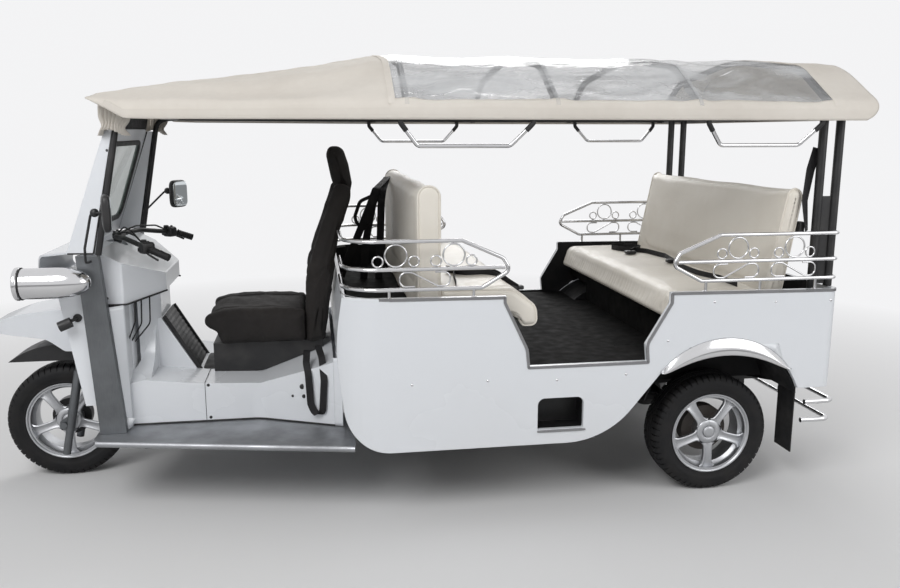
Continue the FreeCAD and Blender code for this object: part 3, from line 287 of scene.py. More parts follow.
for name, numbers in METALS.items():
    finishes[name] = metal_finish(name, *numbers)
for name, numbers in BLACKS.items():
    finishes[name] = black_finish(name, *numbers)
finishes["lining"].set("Specular IOR Level", 0.2)
finishes["black_floor"].set("Specular IOR Level", 0.05)
print("metals", list(METALS), "blacks", list(BLACKS))

# %% [markdown]
# Rubber treads pick up road dust between their blocks. Cloth and vinyl need a relief at two scales:
# the weave or grain that you feel, and the slack waves that you see from across the street.

# %% Rubber, cloth and clear sheets
GROUND_TONE = (0.9, 0.9, 0.91)


def tyre_finish():
    """Black rubber with pale dust where a slow noise is high."""
    f = Finish("tyre", (0.012, 0.012, 0.013), 0.7, 0.0, Specular_IOR_Level=0.3)
    dust = f.between(f.noise(16, 6), 0.42, 0.75)
    f.set("Base Color", f.blend(dust * 0.25, (0.006, 0.006, 0.007), (0.06, 0.056, 0.052)))
    f.set("Roughness", f.between(dust, 0, 1, 0.6, 0.85))
    f.bump(f.noise(300, 3), 0.0003, 0.5)
    return f


def weave_finish(name, colour, shade, roughness, pitch, slack, depth=0.0003, stain_and_sheen=0.35):
    """Woven cloth: two sets of waves make the weave, one slow noise the folds, another the stains; on the
    black cloth that noise mixes in a lighter brown tone, which is painted sheen and not a stain.
    """
    f = Finish(name, colour, roughness, 0.0, Specular_IOR_Level=0.25)
    mark = f.between(f.noise(3.1, 6), 0.38, 0.75)
    fine = f.noise(38, 4)
    # The slow noise mixes in stains; on black_fabric the lighter brown tone it mixes in is painted sheen,
    # light caught on the cloth.
    f.set("Base Color", f.blend(mark * stain_and_sheen + fine * 0.2, colour, shade))
    f.set("Roughness", f.between(fine, 0.3, 0.7, roughness - 0.06, roughness + 0.08))
    threads = f.waves(pitch, "X") + f.waves(pitch, "Y") + f.waves(pitch, "Z")
    folds = f.bump(f.noise(slack, 4, warp=0.6), 0.006, 0.5)
    f.bump(threads, depth, 0.5, folds)
    return f


def vinyl_seat_finish():
    """Cream vinyl: soft creases from a slow noise, the leather grain from small cells."""
    f = Finish("cream_vinyl", (0.77, 0.72, 0.64), 0.42)
    mark = f.between(f.noise(4, 6), 0.4, 0.75)
    f.set("Base Color", f.blend(mark * 0.35, (0.79, 0.75, 0.675), (0.64, 0.58, 0.49)))
    f.set("Roughness", f.between(f.noise(30, 4), 0.3, 0.7, 0.34, 0.52))
    crease = f.bump(f.noise(7, 5, (1, 0.5, 1), warp=0.8), 0.004, 0.45)
    f.bump(f.cells(420) * 0.6 + f.noise(600, 2) * 0.4, 0.0003, 0.5, crease)
    return f


def clear_finish(name, colour, thin, thick, roughness, relief, depth):
    """Clear sheet or glass: see-through by Alpha, cloudier where the noise is high; the cloudy patches are
    partly the sheet's haze and partly painted reflections of its wrinkles.
    """
    f = Finish(name, colour, roughness, 0.0)
    # Cloudy patches shown through Alpha: partly real haze, partly painted reflection of the wrinkles.
    haze_and_painted_reflection = f.between(f.noise(relief, 5, (0.35, 1, 1), warp=1.2), 0.45, 0.72)
    f.set("Alpha", f.between(haze_and_painted_reflection, 0, 1, thin, thick))
    f.set("Roughness", f.between(haze_and_painted_reflection, 0, 1, roughness, roughness + 0.12))
    if depth:
        f.bump(f.noise(relief * 1.6, 4, (0.35, 1, 1), warp=1.4), depth, 0.6)
    return f


def lens_finish(name, colour, alpha):
    """Moulded lens: waves along y are its flutes."""
    f = Finish(name, colour, 0.08, 0.0, Alpha=alpha)
    f.set("Roughness", f.between(f.noise(40, 3), 0.3, 0.7, 0.05, 0.16))
    f.bump(f.waves(95, "Y"), 0.0012, 0.6)
    return f


CLOTHS = {"cream_canvas": ((0.76, 0.72, 0.66), (0.56, 0.51, 0.45), 0.74, 260, 3.2),
          # black_fabric: its lighter brown second tone, mixed in at 0.7, is painted sheen.
          "black_fabric": ((0.014, 0.013, 0.013), (0.032, 0.028, 0.026), 0.8, 300, 9, 0.0004, 0.7),
          "webbing": ((0.012, 0.012, 0.013), (0.03, 0.028, 0.03), 0.62, 420, 14)}
finishes["tyre"] = tyre_finish()
for name, numbers in CLOTHS.items():
    finishes[name] = weave_finish(name, *numbers)
finishes["cream_vinyl"] = vinyl_seat_finish()
finishes["clear_glass"] = clear_finish("clear_glass", (0.2, 0.3, 0.25), 0.4, 0.52, 0.03, 2.0, 0)
# The clear vinyl's grey shows in noise patches through Alpha; these are partly painted reflection of its
# wrinkles.
finishes["clear_vinyl"] = clear_finish("clear_vinyl", (0.66, 0.67, 0.68), 0.2, 0.72, 0.06, 5.0, 0.022)
finishes["lamp_glass"] = lens_finish("lamp_glass", (0.8, 0.83, 0.85), 0.45)
finishes["red_lens"] = lens_finish("red_lens", (0.45, 0.015, 0.012), 1.0)
print("finishes", len(finishes))


def floor_tones():
    """Pale floor near the vehicle; beyond 3 m the camera sees it fade to the ground's plain tone."""
    f = Finish("studio_floor", (0.74, 0.74, 0.74), 0.9)
    reach = f.node("ShaderNodeVectorMath", {"operation": "LENGTH"}, {0: f.here()}, "Value")
    seen = f.node("ShaderNodeLightPath", {}, {}, "Is Camera Ray")
    far = f.between(reach, 2.2, 5.5) * seen
    near = f.noise(0.8, 3) * 0.05 + 0.72
    f.set("Base Color", f.blend(far, (0.78, 0.78, 0.78), (0, 0, 0)))
    f.set("Roughness", near + 0.15)
    f.set("Emission Color", f.blend(far, (0, 0, 0), GROUND_TONE))
    f.set("Emission Strength", 1.0)
    f.set("Specular IOR Level", 0.0)
    return f


floor_finish = floor_tones()

# %% [markdown]
# The world is one plain pale tone. A picture of a street would give livelier reflections, but a
# plain tone shows each finish as it is. Its light on the vehicle is held low, while the camera,
# bright metal and glass see it at full strength.

# %% World
world = bpy.data.worlds.new("studio")
world.use_nodes = True
bpy.context.scene.world = world
net = world.node_tree
LIGHT_LEVEL = 0.42
rays = net.nodes.new("ShaderNodeLightPath").outputs
seen = rays["Is Camera Ray"]
for ray in ("Is Transmission Ray", "Is Glossy Ray"):
    either = net.nodes.new("ShaderNodeMath")
    either.operation = "MAXIMUM"
    net.links.new(seen, either.inputs[0])
    net.links.new(rays[ray], either.inputs[1])
    seen = either.outputs[0]
level = net.nodes.new("ShaderNodeMapRange")
level.inputs[3].default_value = LIGHT_LEVEL
level.inputs[4].default_value = 1.0
net.links.new(seen, level.inputs[0])
sky = net.nodes["Background"]
sky.inputs[0].default_value = (*GROUND_TONE, 1)
net.links.new(level.outputs[0], sky.inputs[1])

# %% [markdown]
# ## Surfaces from numbers
# Most new pieces are one idea: a small profile carried along a path, or a grid of points that a
# formula fills. numpy works out all points at once and the faces are only their numbering.


# %% Grids into meshes
slot_names = {m["slot"] for m in record["materials"]}
made_new = set()


def numbered(rows, columns, wrap_rows=False, wrap_columns=False):
    """Four corner numbers of every cell of a rows x columns grid of points."""
    i = np.arange(rows if wrap_rows else rows - 1)[:, None]
    j = np.arange(columns if wrap_columns else columns - 1)[None, :]
    down, across = (i + 1) % rows, (j + 1) % columns
    corners = (i * columns + j, i * columns + across, down * columns + across, down * columns + j)
    return np.stack(corners, axis=-1).reshape(-1, 4)


def sheet(grid, wrap_rows=False, wrap_columns=False):
    """A grid of points, rows x columns x 3, as loose points and faces."""
    return grid.reshape(-1, 3), numbered(grid.shape[0], grid.shape[1], wrap_rows, wrap_columns)


def joined(parts):
    """Several point-and-face pairs as one pair."""
    shifts = np.cumsum([0] + [len(points) for points, _ in parts[:-1]])
    faces = [part[1] + shift for part, shift in zip(parts, shifts)]
    return np.concatenate([points for points, _ in parts]), np.concatenate(faces)


def make(name, shape, finish, body="body", slot=None, closed=True, angle=40, wall=0.0, node=None):
    """A piece from points (stations in mm) and faces. It rides on a body and may stand for a node."""
    points, faces = shape
    mesh = bpy.data.meshes.new(name)
    mesh.from_pydata(at(points).tolist(), [], faces.tolist())
    form = bmesh.new()
    form.from_mesh(mesh)
    bmesh.ops.remove_doubles(form, verts=form.verts, dist=1e-6)
    bmesh.ops.dissolve_degenerate(form, edges=form.edges, dist=1e-7)
    if closed:
        bmesh.ops.recalc_face_normals(form, faces=form.faces)
    form.to_mesh(mesh)
    form.free()
    thing = bpy.data.objects.new(name, mesh)
    bpy.context.collection.objects.link(thing)
    mesh.materials.append(finishes[finish].material)
    mesh.shade_smooth()
    mesh.set_sharp_from_angle(angle=math.radians(angle))
    if wall:
        solid = thing.modifiers.new("wall", "SOLIDIFY")
        solid.thickness = wall
        solid.offset = 0
    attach(thing, body)
    slot or (finish if finish in slot_names else "black_plastic")
    if node:
        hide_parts(node)
        made_new.add(node)
    print(name, len(mesh.polygons), "faces, finish", finish)
    return thing


# %% [markdown]
# A path is a list of corners with a bend radius. The corners become arcs, and the profile is set
# square to the path at each step. A skew reference direction keeps the profile from flipping,
# because no rail on this vehicle runs along it.

# %% Paths and tubes
SKEW = np.array([0.36, 0.62, 0.7])
ALONG_X, ALONG_Y, ALONG_Z = np.eye(3)


def bent(corners, bend, turn_step=9.0):
    """Corners joined by straight runs and arcs: an arc touches both runs at bend * tan(turn / 2).
    `bend` is one radius, or a radius by corner number with the rest under "all"."""
    pts = np.asarray(corners, float)
    if not isinstance(bend, dict):
        bend = {"all": bend}
    rows = [pts[:1]]
    for k in range(1, len(pts) - 1):
        back, ahead = pts[k - 1] - pts[k], pts[k + 1] - pts[k]
        back, ahead = back / np.linalg.norm(back), ahead / np.linalg.norm(ahead)
        turn = math.pi - math.acos(np.clip(back @ ahead, -1, 1))
        r = bend.get(k, bend.get("all", 0.02))
        if turn < 0.02 or r <= 0:
            rows.append(pts[k:k + 1])
            continue
        start = pts[k] + back * r * math.tan(turn / 2)
        middle = (back + ahead) / np.linalg.norm(back + ahead)
        centre = pts[k] + middle * r / math.cos(turn / 2)
        out = (start - centre) / r
        a = np.linspace(0, turn, max(3, int(math.degrees(turn) / turn_step) + 1))[:, None]
        rows.append(centre + r * (out * np.cos(a) - back * np.sin(a)))
    rows.append(pts[-1:])
    return np.concatenate(rows)


def frames(path, reference, closed=False):
    """Side and up directions square to the path: side = along x reference, up = side x along."""
    if closed:
        along = np.roll(path, -1, 0) - np.roll(path, 1, 0)
    else:
        along = np.gradient(path, axis=0)
    along /= np.linalg.norm(along, axis=1, keepdims=True)
    side = np.cross(along, reference)
    side /= np.linalg.norm(side, axis=1, keepdims=True)
    return along, side, np.cross(side, along)


def carried(path, profile, reference=SKEW, closed=False, size=None):
    """p(s, k) = path(s) + size(s) * (a_k side(s) + b_k up(s)); a ring of no size closes each end."""
    path = np.asarray(path, float)
    size = np.ones(len(path)) if size is None else np.asarray(size, float)
    if not closed:
        path = np.concatenate([path[:1], path, path[-1:]])
        size = np.concatenate([[0], size, [0]])
        along, side, up = frames(path[1:-1], reference)
        side, up = (np.concatenate([d[:1], d, d[-1:]]) for d in (side, up))
    else:
        along, side, up = frames(path, reference, True)
    a, b = np.asarray(profile, float).T
    ring = a[None, :, None] * side[:, None] + b[None, :, None] * up[:, None]
    grid = path[:, None] + size[:, None, None] * ring
    return sheet(grid, closed, True)


def circle(radius, sides=14):
    """Points (radius cos t, radius sin t)."""
    t = np.arange(sides) * 2 * math.pi / sides
    return np.stack([radius * np.cos(t), radius * np.sin(t)], axis=1)


def tube(corners, radius, bend=0.02, sides=14):
    """Round tube along bent corners."""
    return carried(bent(corners, bend), circle(radius, sides))


def flat_bar(line, half_side, half_up, reference):
    """Rectangular profile (+-half_side, +-half_up) along a line; its up side nears the reference."""
    a, b = half_side, half_up
    return carried(line, [(-a, -b), (a, -b), (a, b), (-a, b)], reference)


def hoop(centre, radius, wire, sides=40):
    """Circle of round wire in the x-z plane."""
    t = np.arange(sides) * 2 * math.pi / sides
    ring = np.stack([np.cos(t), np.zeros(sides), np.sin(t)], axis=1)
    return carried(np.asarray(centre) + radius * ring, circle(wire, 10), closed=True)


def turned(profile, centre, axis="Y", sides=72):
    """Profile (radius, station) turned about an axis through centre."""
    r, s = np.asarray(profile, float).T
    t = np.arange(sides)[:, None] * 2 * math.pi / sides
    c, d, s = r * np.cos(t), r * np.sin(t), s + 0 * t
    grid = np.stack({"Y": (c, s, d), "X": (s, c, d), "Z": (c, d, s)}[axis], axis=-1)
    return sheet(np.asarray(centre) + grid, True, False)


def mirrored(shape):
    """The same shape on the other side, its faces turned to keep pointing out."""
    points, faces = shape
    return points * np.array([1, -1, 1]), faces[:, ::-1]


def both(*shapes):
    """Shapes of the near side together with their mirror images."""
    return joined([s for shape in shapes for s in (shape, mirrored(shape))])


# %% [markdown]
# ## Rigid parts as they come from the CAD
# Sheet metal never has a knife edge. A merged copy of each rigid node gets a narrow bevel and
# normals that follow the large faces, and then stands for the node.


# %% Dressed nodes
def dressed(node, finish=None, edge=0.0015):
    """A merged copy of a node with bevelled edges and even normals."""
    mesh = frame["nodes"][node].data.copy()
    mesh.materials.clear()
    form = bmesh.new()
    form.from_mesh(mesh)
    bmesh.ops.remove_doubles(form, verts=form.verts, dist=1e-5)
    bmesh.ops.dissolve_limit(form, angle_limit=math.radians(0.6), verts=form.verts, edges=form.edges)
    form.to_mesh(mesh)
    form.free()
    thing = bpy.data.objects.new(node + "_dressed", mesh)
    bpy.context.collection.objects.link(thing)
    mesh.materials.append(finishes[finish or slot_of[node]].material)
    mesh.shade_smooth()
    soft = thing.modifiers.new("soft_edges", "BEVEL")
    soft.width = edge
    soft.segments = 2
    soft.limit_method = "ANGLE"
    soft.angle_limit = math.radians(36)
    even = thing.modifiers.new("even_normals", "WEIGHTED_NORMAL")
    even.weight = 60
    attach(thing, body_of[node])
    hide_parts(node)
    return thing


# %% [markdown]
# ## Floor
# One wide sheet that runs up behind the vehicle would show a horizon, so the floor is simply very
# large and the same pale tone as the world.

# %% Floor
floor_mesh = bpy.data.meshes.new("studio_floor")
floor_mesh.from_pydata([(-40, -40, 0), (40, -40, 0), (40, 40, 0), (-40, 40, 0)], [], [(0, 1, 2, 3)])
floor = bpy.data.objects.new("studio_floor", floor_mesh)
floor_mesh.materials.append(floor_finish.material)
bpy.context.collection.objects.link(floor)

# %% [markdown]
# ## Wheels
# A 155/65 R13 tyre has a tread of blocks between two grooves, shoulders with short cross cuts and
# a smooth sidewall with a rim guard. Radius and station along the profile come from a few corners,
# and the cuts are sunk by a formula in the angle, so one grid gives the whole tyre.

# %% Tyres
TYRE_R = 266.0
TYRE_PITCHES = 56
WHEELS = {"front": ((0, 0, TYRE_R), "front_wheel"),
          "left": ((2879, -637, TYRE_R), "rear_wheel_left"),
          "right": ((2879, 637, TYRE_R), "rear_wheel_right")}


def tyre_shape():
    """Radius(y) from a rounded profile, less 7 mm where the angle or y falls into a groove."""
    half = [(165.6, -62), (182, -64), (187, -69), (191, -68.5), (210, -77), (236, -77), (256, -67),
            (264.5, -54), (266, -40), (266, -25), (266, -24), (259, -23), (259, -17), (266, -16), (266, -3),
            (266, -2.4), (261, -2), (261, 0)]
    other = [(r, -y) for r, y in half[-2::-1]]
    profile = bent([(y, 0, r) for r, y in half + other], {"all": 0.0, 2: 2.0, 4: 26.0, 5: 26.0, 6: 12.0,
                                                          28: 12.0, 29: 26.0, 30: 26.0, 32: 2.0}, 16)
    y, r = profile[:, 0], profile[:, 2]
    steps = np.array([0.0, 0.13, 0.17, 0.56, 0.96])
    turn = (np.arange(TYRE_PITCHES)[:, None] + steps[None, :]).ravel() / TYRE_PITCHES
    phase = np.tile(steps, TYRE_PITCHES)
    cut = (phase[:, None] < 0.15) & (np.abs(y) > 26)[None, :] & (r > 250)[None, :]
    fine = (np.abs(phase[:, None] - 0.56) < 0.02) & (np.abs(y) < 15)[None, :] & (r > 262)[None, :]
    radius = r[None, :] - 6.5 * cut - 1.5 * fine
    angle = 2 * math.pi * turn[:, None] + 0.018 * np.sign(y)[None, :] * (np.abs(y)[None, :] > 16)
    grid = np.stack([radius * np.cos(angle), y + 0 * angle, radius * np.sin(angle)], axis=-1)
    return sheet(grid, True, True)


# %% [markdown]
# The wheel is cast alloy: a deep barrel with a machined lip, and five broad spokes. Each spoke has
# a raised edge on both sides of a shallow channel and flares into its neighbours at both ends.
# The cap in the middle is left plain.

# %% Alloy wheels
SPOKES = 5


def spoke_shape(turn):
    """Section (a w(r), b) along the radius; w is widest where the spoke meets hub and barrel."""
    r = np.concatenate([[52], np.linspace(58, 164, 34), [166]])
    width = 19 + (r - 60) * 0.03 + 15 * np.exp(-(r - 52) / 8) + 30 * np.exp(-(166 - r) / 9)
    lift = 3.5 * np.sin(np.clip((r - 58) / 104, 0, 1) * math.pi)
    a = np.array([-1, -0.96, -0.8, -0.62, -0.45, 0, 0.45, 0.62, 0.8, 0.96, 1, 0.86, -0.86])
    b = np.array([-41, -46.5, -49, -48.4, -45.4, -44.8, -45.4, -48.4, -49, -46.5, -41, -30, -30])
    front = b < -40
    y = b[None, :] - lift[:, None] * front[None, :]
    across = a[None, :] * width[:, None]
    c, s = math.cos(turn), math.sin(turn)
    grid = np.stack([r[:, None] * c - across * s, y, r[:, None] * s + across * c], axis=-1)
    ends = [np.broadcast_to(g.mean(axis=0), g.shape)[None] for g in (grid[0], grid[-1])]
    return sheet(np.concatenate([ends[0], grid, ends[1]]), False, True)


def rim_shape():
    """Barrel, hub, cap and nuts are profiles (radius, station) turned about the axle; spokes between."""
    barrel = [(165, -63.2), (165, 63), (182, 63.3), (182.5, 66.8), (158, 66.8), (150, 20), (150, -26),
              (163, -36), (166, -44), (169, -58), (174.5, -68.5), (178, -70.4), (181.6, -70), (182.5, -68),
              (182.5, -64), (165, -63.2)]
    hub = [(28, 9), (56, 9), (56.5, -38), (55, -45.5), (52, -48), (38, -50.5), (30, -49.5), (28, -48),
           (28, 9)]
    cap = [(0, -55.5), (14, -55.2), (23, -53.8), (26.5, -51), (27.4, -47), (27.4, -40), (0, -40)]
    nut_rows = [(0, -50.5), (5.5, -50.2), (7.2, -48.5), (7.4, -40), (0, -40)]
    parts = [turned(barrel, (0, 0, 0), sides=96), turned(hub, (0, 0, 0)), turned(cap, (0, 0, 0), sides=48)]
    for turn in 2 * math.pi * np.arange(SPOKES) / SPOKES - math.pi / 2:
        parts.append(spoke_shape(turn))
        mid = turn + math.pi / SPOKES
        parts.append(turned(nut_rows, (42 * math.cos(mid), 0, 42 * math.sin(mid)), sides=6))
    return joined(parts)


ROUND_PARTS = (("tyre_", "tyre", "tyre", 32, tyre_shape()),
               ("alloy_wheel_", "rim", "alloy", 40, rim_shape()))
for side, (centre, wheel_body) in WHEELS.items():
    for name, part, finish, angle, shape in ROUND_PARTS:
        points, faces = mirrored(shape) if side == "right" else shape
        node = "front_" + part if side == "front" else "rear_" + part + "_" + side
        make(name + side, (points + centre, faces), finish, wheel_body, angle=angle, node=node)

# %% [markdown]
# ## Bright tubes
# Rails, scrolls, hoops and bumper are polished tube, bent cold, so each bend is one smooth arc.
# The corners and radii are the same as on the CAD, where the bends are stepped.

# %% Rails round the tub
RAIL_Y = -819.0
RAIL_TOP, RAIL_MID, RAIL_LOW = 1170.0, 1060.0, 980.0


def tub_top(x):
    """Height of the tub's top edge: 950 at the front, 932 at the back."""
    return 950 - 18 * (x - 1257) / 2104


def scroll(x, lean):
    """Lying S of thin tube between the low and the middle rail."""
    z0, z1 = RAIL_LOW + 11.8, RAIL_MID - 11.8
    line = [(-40, z1), (-100, z1), (-100, z0), (-52, z0), (52, z1), (100, z1), (100, z0), (40, z0)]
    return tube([(x + lean * a, RAIL_Y, z) for a, z in line], 3.5, 26.0, 10)


def rail_side(tip, inward, end_x, end_y, corner, flat_x, low_x, posts, rings, scrolls):
    """One rail: a loop with a slanted nose, a middle tube, posts, sets of three rings, scrolls."""
    level = [(end_x, end_y), (end_x, RAIL_Y)]
    nose = [(flat_x, RAIL_Y, RAIL_TOP), (tip + inward * 26, RAIL_Y, 1097),
            (tip - inward * 4, RAIL_Y, RAIL_MID - 12), (low_x, RAIL_Y, RAIL_LOW)]
    loop = [(a, b, RAIL_TOP) for a, b in level] + nose + [(a, b, RAIL_LOW) for a, b in level[::-1]]
    middle = [(a, b, RAIL_MID) for a, b in level] + [(tip + inward * 18, RAIL_Y, RAIL_MID)]
    parts = [tube(loop, 8, {"all": 24.0, 1: corner, 6: corner}, 16),
             tube(middle, 8, {"all": 24.0, 1: corner}, 16)]
    for x in posts:
        parts.append(tube([(x, RAIL_Y, tub_top(x) - 1), (x, RAIL_Y, RAIL_LOW - 4)], 6, 0, 14))
        foot = [(0, 3), (6, 3), (11, 1.5), (12, 0), (0, 0)]
        parts.append(turned(foot, (x, RAIL_Y, tub_top(x) + 0.3), "Z", 24))
    for x in rings:
        parts.append(hoop((x, RAIL_Y, 1115), 43.2, 3.5))
        parts += [hoop((x + s * 70.7, RAIL_Y, 1092.3), 20.5, 3.5) for s in (-1, 1)]
    return parts + [scroll(x, lean) for x, lean in scrolls]


rear_rail = rail_side(2612, 1, 3346, -780.4, 22.0, 2813, 2736, (2757, 2999, 3251), (2893, 3146),
                      ((2888, 1), (3146, -1)))
front_rail = rail_side(1921, -1, 1262, -430, 150.0, 1731, 1809, (1440, 1777), (1468, 1697), ((1582, -1),))
front_rail.append(tube([(1262, -434, 949), (1262, -434, 976)], 6, 0))
make("bright_rails", both(*rear_rail, *front_rail), "chrome", angle=60, node="side_rails")

# %% [markdown]
# Passengers pull themselves up by hoops under the roof's edge, whose bolted ends sit in black
# sleeves. The bumper is two long tubes on two stays. Straight tubes with quarter rings between them
# would do, but a path with a radius at each corner gives tube and bends in one piece.

# %% Hoops and bumper
HOOP_Y, HOOP_TOP, HOOP_LOW = -864.2, 1642.2, 1534
hoop_tubes, sleeves = [], []
for x0, x1 in ((1487, 1996), (2708, 3197)):
    line = [(x0, HOOP_Y, HOOP_TOP), (x0, HOOP_Y, HOOP_TOP - 22), (x0 + 68, HOOP_Y + 30, HOOP_LOW),
            (x1 - 83, HOOP_Y + 30, HOOP_LOW), (x1, HOOP_Y, HOOP_TOP - 22), (x1, HOOP_Y, HOOP_TOP)]
    hoop_tubes.append(tube(line, 8, 28.0, 16))
    sleeves.append(tube(line[:2] + [(x0 + 22, HOOP_Y + 10, 1592)], 10, 14.0, 16))
    sleeves.append(tube(line[:-3:-1] + [(x1 - 25, HOOP_Y + 9, 1592)], 10, 14.0, 16))
make("bright_grab_hoops", both(*hoop_tubes), "chrome", angle=60, node="grab_hoops")
make("hoop_sleeves", both(*sleeves), "rubber", angle=60)

bumper_tubes = [tube([(x - 140, -739, z), (x, -739, z), (x, 739, z), (x - 140, 739, z)], 11, 34.0, 18)
                for x, z in ((3439, 402), (3427, 317))]
for y in (-330, 330):
    stay = [(3330, y, 430), (3380, y, 430), (3432, y, 398), (3424, y, 312)]
    bumper_tubes.append(tube(stay, 11, 20.0, 18))
make("bright_bumper", joined(bumper_tubes), "chrome", angle=60, node="rear_bumper")

# %% [markdown]
# ## Lamps and mirrors
# The headlamps are bullets of spun and plated steel: a bezel, a gasket, a straight barrel and a
# tail that closes like the end of an egg. Inside sits a bowl and a small bulb behind a fluted lens.

# %% Headlamps
LAMP_Y, LAMP_Z = -546.0, 998.0
tail = np.linspace(0, math.pi / 2, 15)
barrel = [(57.9, 22), (57.9, -5), (62, -6), (65.4, -4), (66.4, 2), (65.6, 9), (63, 12), (61, 14)]
barrel += [(61.5, 19)] + [(62 * math.cos(a) ** 0.9, 150 + 126 * math.sin(a)) for a in tail[:-1]]
barrel += [(0, 276), (0, 22)]
gasket = [(61, 13.5), (64.5, 14), (65, 16.5), (64, 19), (61, 19.5), (61, 13.5)]
lens_glass = [(0, -4), (25, -3.4), (45, -1.4), (57, 2.5), (57.6, 5), (56, 6), (0, 0)]
bowl = [(0, 21), (14, 20), (34, 14), (50, 8), (57, 6), (57.7, 21.6), (0, 21.6)]
centre = (0, LAMP_Y, LAMP_Z)
bulb = [(0, 4), (5, 6), (8, 11), (8, 20), (0, 20)]
bracket = tube([(226, LAMP_Y, LAMP_Z), (226, -480.5, LAMP_Z)], 15, 0, 20)
washer = turned([(0, 3), (24, 3), (26, 0), (0, 0)], (226, -483.5, LAMP_Z), "Y", 30)
make("bullet_headlamps", both(turned(barrel, centre, "X")), "chrome", node="headlamp_shells")
make("headlamp_gaskets", both(turned(gasket, centre, "X"), bracket, washer), "rubber")
make("headlamp_bowls", both(turned(bowl, centre, "X"), turned(bulb, centre, "X", 20)), "chrome")
make("headlamp_lens_glass", both(turned(lens_glass, centre, "X")), "lamp_glass", node="headlamp_lenses")


# %% [markdown]
# Rounded lumps such as mirror heads, switch boxes and clamps are all one form: a ball whose
# sine and cosine are raised to a small power, which squares it up without a hard edge.

# %% Rounded blocks
def block(centre, half, square=0.35, flat=0.35, turn=0.0, rows=22, columns=44):
    """p = half * (c(v) c(u), c(v) s(u), s(v)), where c and s are cos and sin raised to a power."""
    u = np.linspace(0, 2 * math.pi, columns, endpoint=False)[None, :]
    v = np.linspace(-math.pi / 2, math.pi / 2, rows)[:, None]

    def power(t, e):
        return np.sign(t) * np.abs(t) ** e

    cv, sv = power(np.cos(v), flat), power(np.sin(v), flat)
    cv[[0, -1]] = 0
    grid = np.stack([cv * power(np.cos(u), square), cv * power(np.sin(u), square), sv + 0 * u], -1)
    grid = grid * np.asarray(half, float)
    c, s = math.cos(turn), math.sin(turn)
    grid = grid @ np.array([[c, s, 0], [-s, c, 0], [0, 0, 1]])
    return sheet(grid + np.asarray(centre, float), False, True)


def mirror_head(centre, turn):
    """Housing and glass: the block's pole axis lies along the view direction of the glass."""
    shell_pts, faces = block((0, 0, 0), (58, 72, 17), 0.42, 0.55)
    glass_pts, glass_faces = block((0, 0, 0), (50, 64, 2.5), 0.36, 0.5)
    c, s = math.cos(turn), math.sin(turn)
    stand = np.array([[0, 1, 0], [0, 0, 1], [1, 0, 0]]) @ np.array([[c, s, 0], [-s, c, 0], [0, 0, 1]])
    glass_pts = glass_pts + [0, 0, 15.5]
    return (shell_pts @ stand + centre, faces), (glass_pts @ stand + centre, glass_faces)


# %% [markdown]
# Each mirror stands on a thin arm from the front post. The far arm reaches further back, so each
# has its own corners. The glass is a second, thinner block in front of the shell, because it needs a
# polished finish of its own.

# %% Mirrors
ARM_FOOT = ((262, 480.3, 1072), (262, 510, 1072))
ARMS = {-1: ARM_FOOT + ((264, 560, 1080), (275, 600, 1140), (308, 602, 1277), (356, 622, 1280)),
        1: ARM_FOOT + ((264, 560, 1082), (268, 606, 1164), (386, 618, 1279), (436, 622, 1270))}
HEADS = {-1: ((373, -640, 1280), 15), 1: ((452, 628, 1265), 35)}
mirror_black, mirror_faces = [], []
for side, line in ARMS.items():
    head_centre, turn = HEADS[side]
    shell, glass = mirror_head(np.array(head_centre, float), math.radians(-side * turn))
    ball = block(np.array(line[-2]) * [1, side, 1] + (14, 0, 2), (17, 15, 17), 1, 1, rows=16, columns=24)
    mirror_black += [tube([(x, side * y, z) for x, y, z in line], 5, 18.0), shell, ball]
    mirror_faces.append(glass)
make("mirror_arms_and_shells", joined(mirror_black), "black_plastic", node="mirrors")
make("mirror_glasses", joined(mirror_faces), "mirror_glass", slot="black_plastic")

# %% [markdown]
# ## Handlebar
# A black bar in one piece, bent back to the driver. It holds ribbed grips, two switch boxes,
# levers that run ahead of the grips, and a clamp over a rubber boot.

# %% Bar, grips and switches
HALF_BAR = [(274.8, 70, 1122), (334.8, 170, 1126), (478, 335, 1092), (550, 362, 1062)]
bar_line = [(x, -y, z) for x, y, z in HALF_BAR[::-1]] + HALF_BAR
grip_line = bent([(480, 336, 1091), (550, 362, 1062)], 0)
grip_path = grip_line[0] + np.linspace(0, 1, 61)[:, None] * (grip_line[1] - grip_line[0])
ribs = 15.2 + 0.9 * (np.arange(61) % 4 < 2)
ribs[:3], ribs[-3:] = 17.5, (16.5, 15.5, 11.0)
grip = carried(grip_path, circle(1, 20), size=ribs)
steel_bar = tube(bar_line, 11, 40.0, 18)
boot = tube([(266, 0, 1095.5), (274.8, 0, 1122)], 19, 0, 20)
boxes = both(block((450, -304, 1100), (24, 30, 25), 0.4, 0.4, turn=-0.9),
             block((436, -288, 1128), (12, 9, 6), 0.5, 0.5),
             block((420, -300, 1092), (8, 12, 9), 0.5, 0.5),
             block((458, -312, 1126), (6, 6, 5), 0.8, 0.8))
lever = both(tube([(440, -316, 1090), (462, -348, 1078), (484, -362, 1066), (506, -371, 1054)], 4.5, 16.0))
nut = [(0, 6), (6, 6), (7, 4), (7, 0), (0, 0)]
nuts = [turned(nut, (262, y, 1138), "Z", 6) for y in (30, -30)]
clamp = joined([block((274.8, 0, 1124), (21, 54, 15), 0.3, 0.4), *nuts])
bar_parts = joined([steel_bar, boxes, clamp, boot])
make("bar_with_switches", bar_parts, "black_plastic", "steering", node="handlebar")
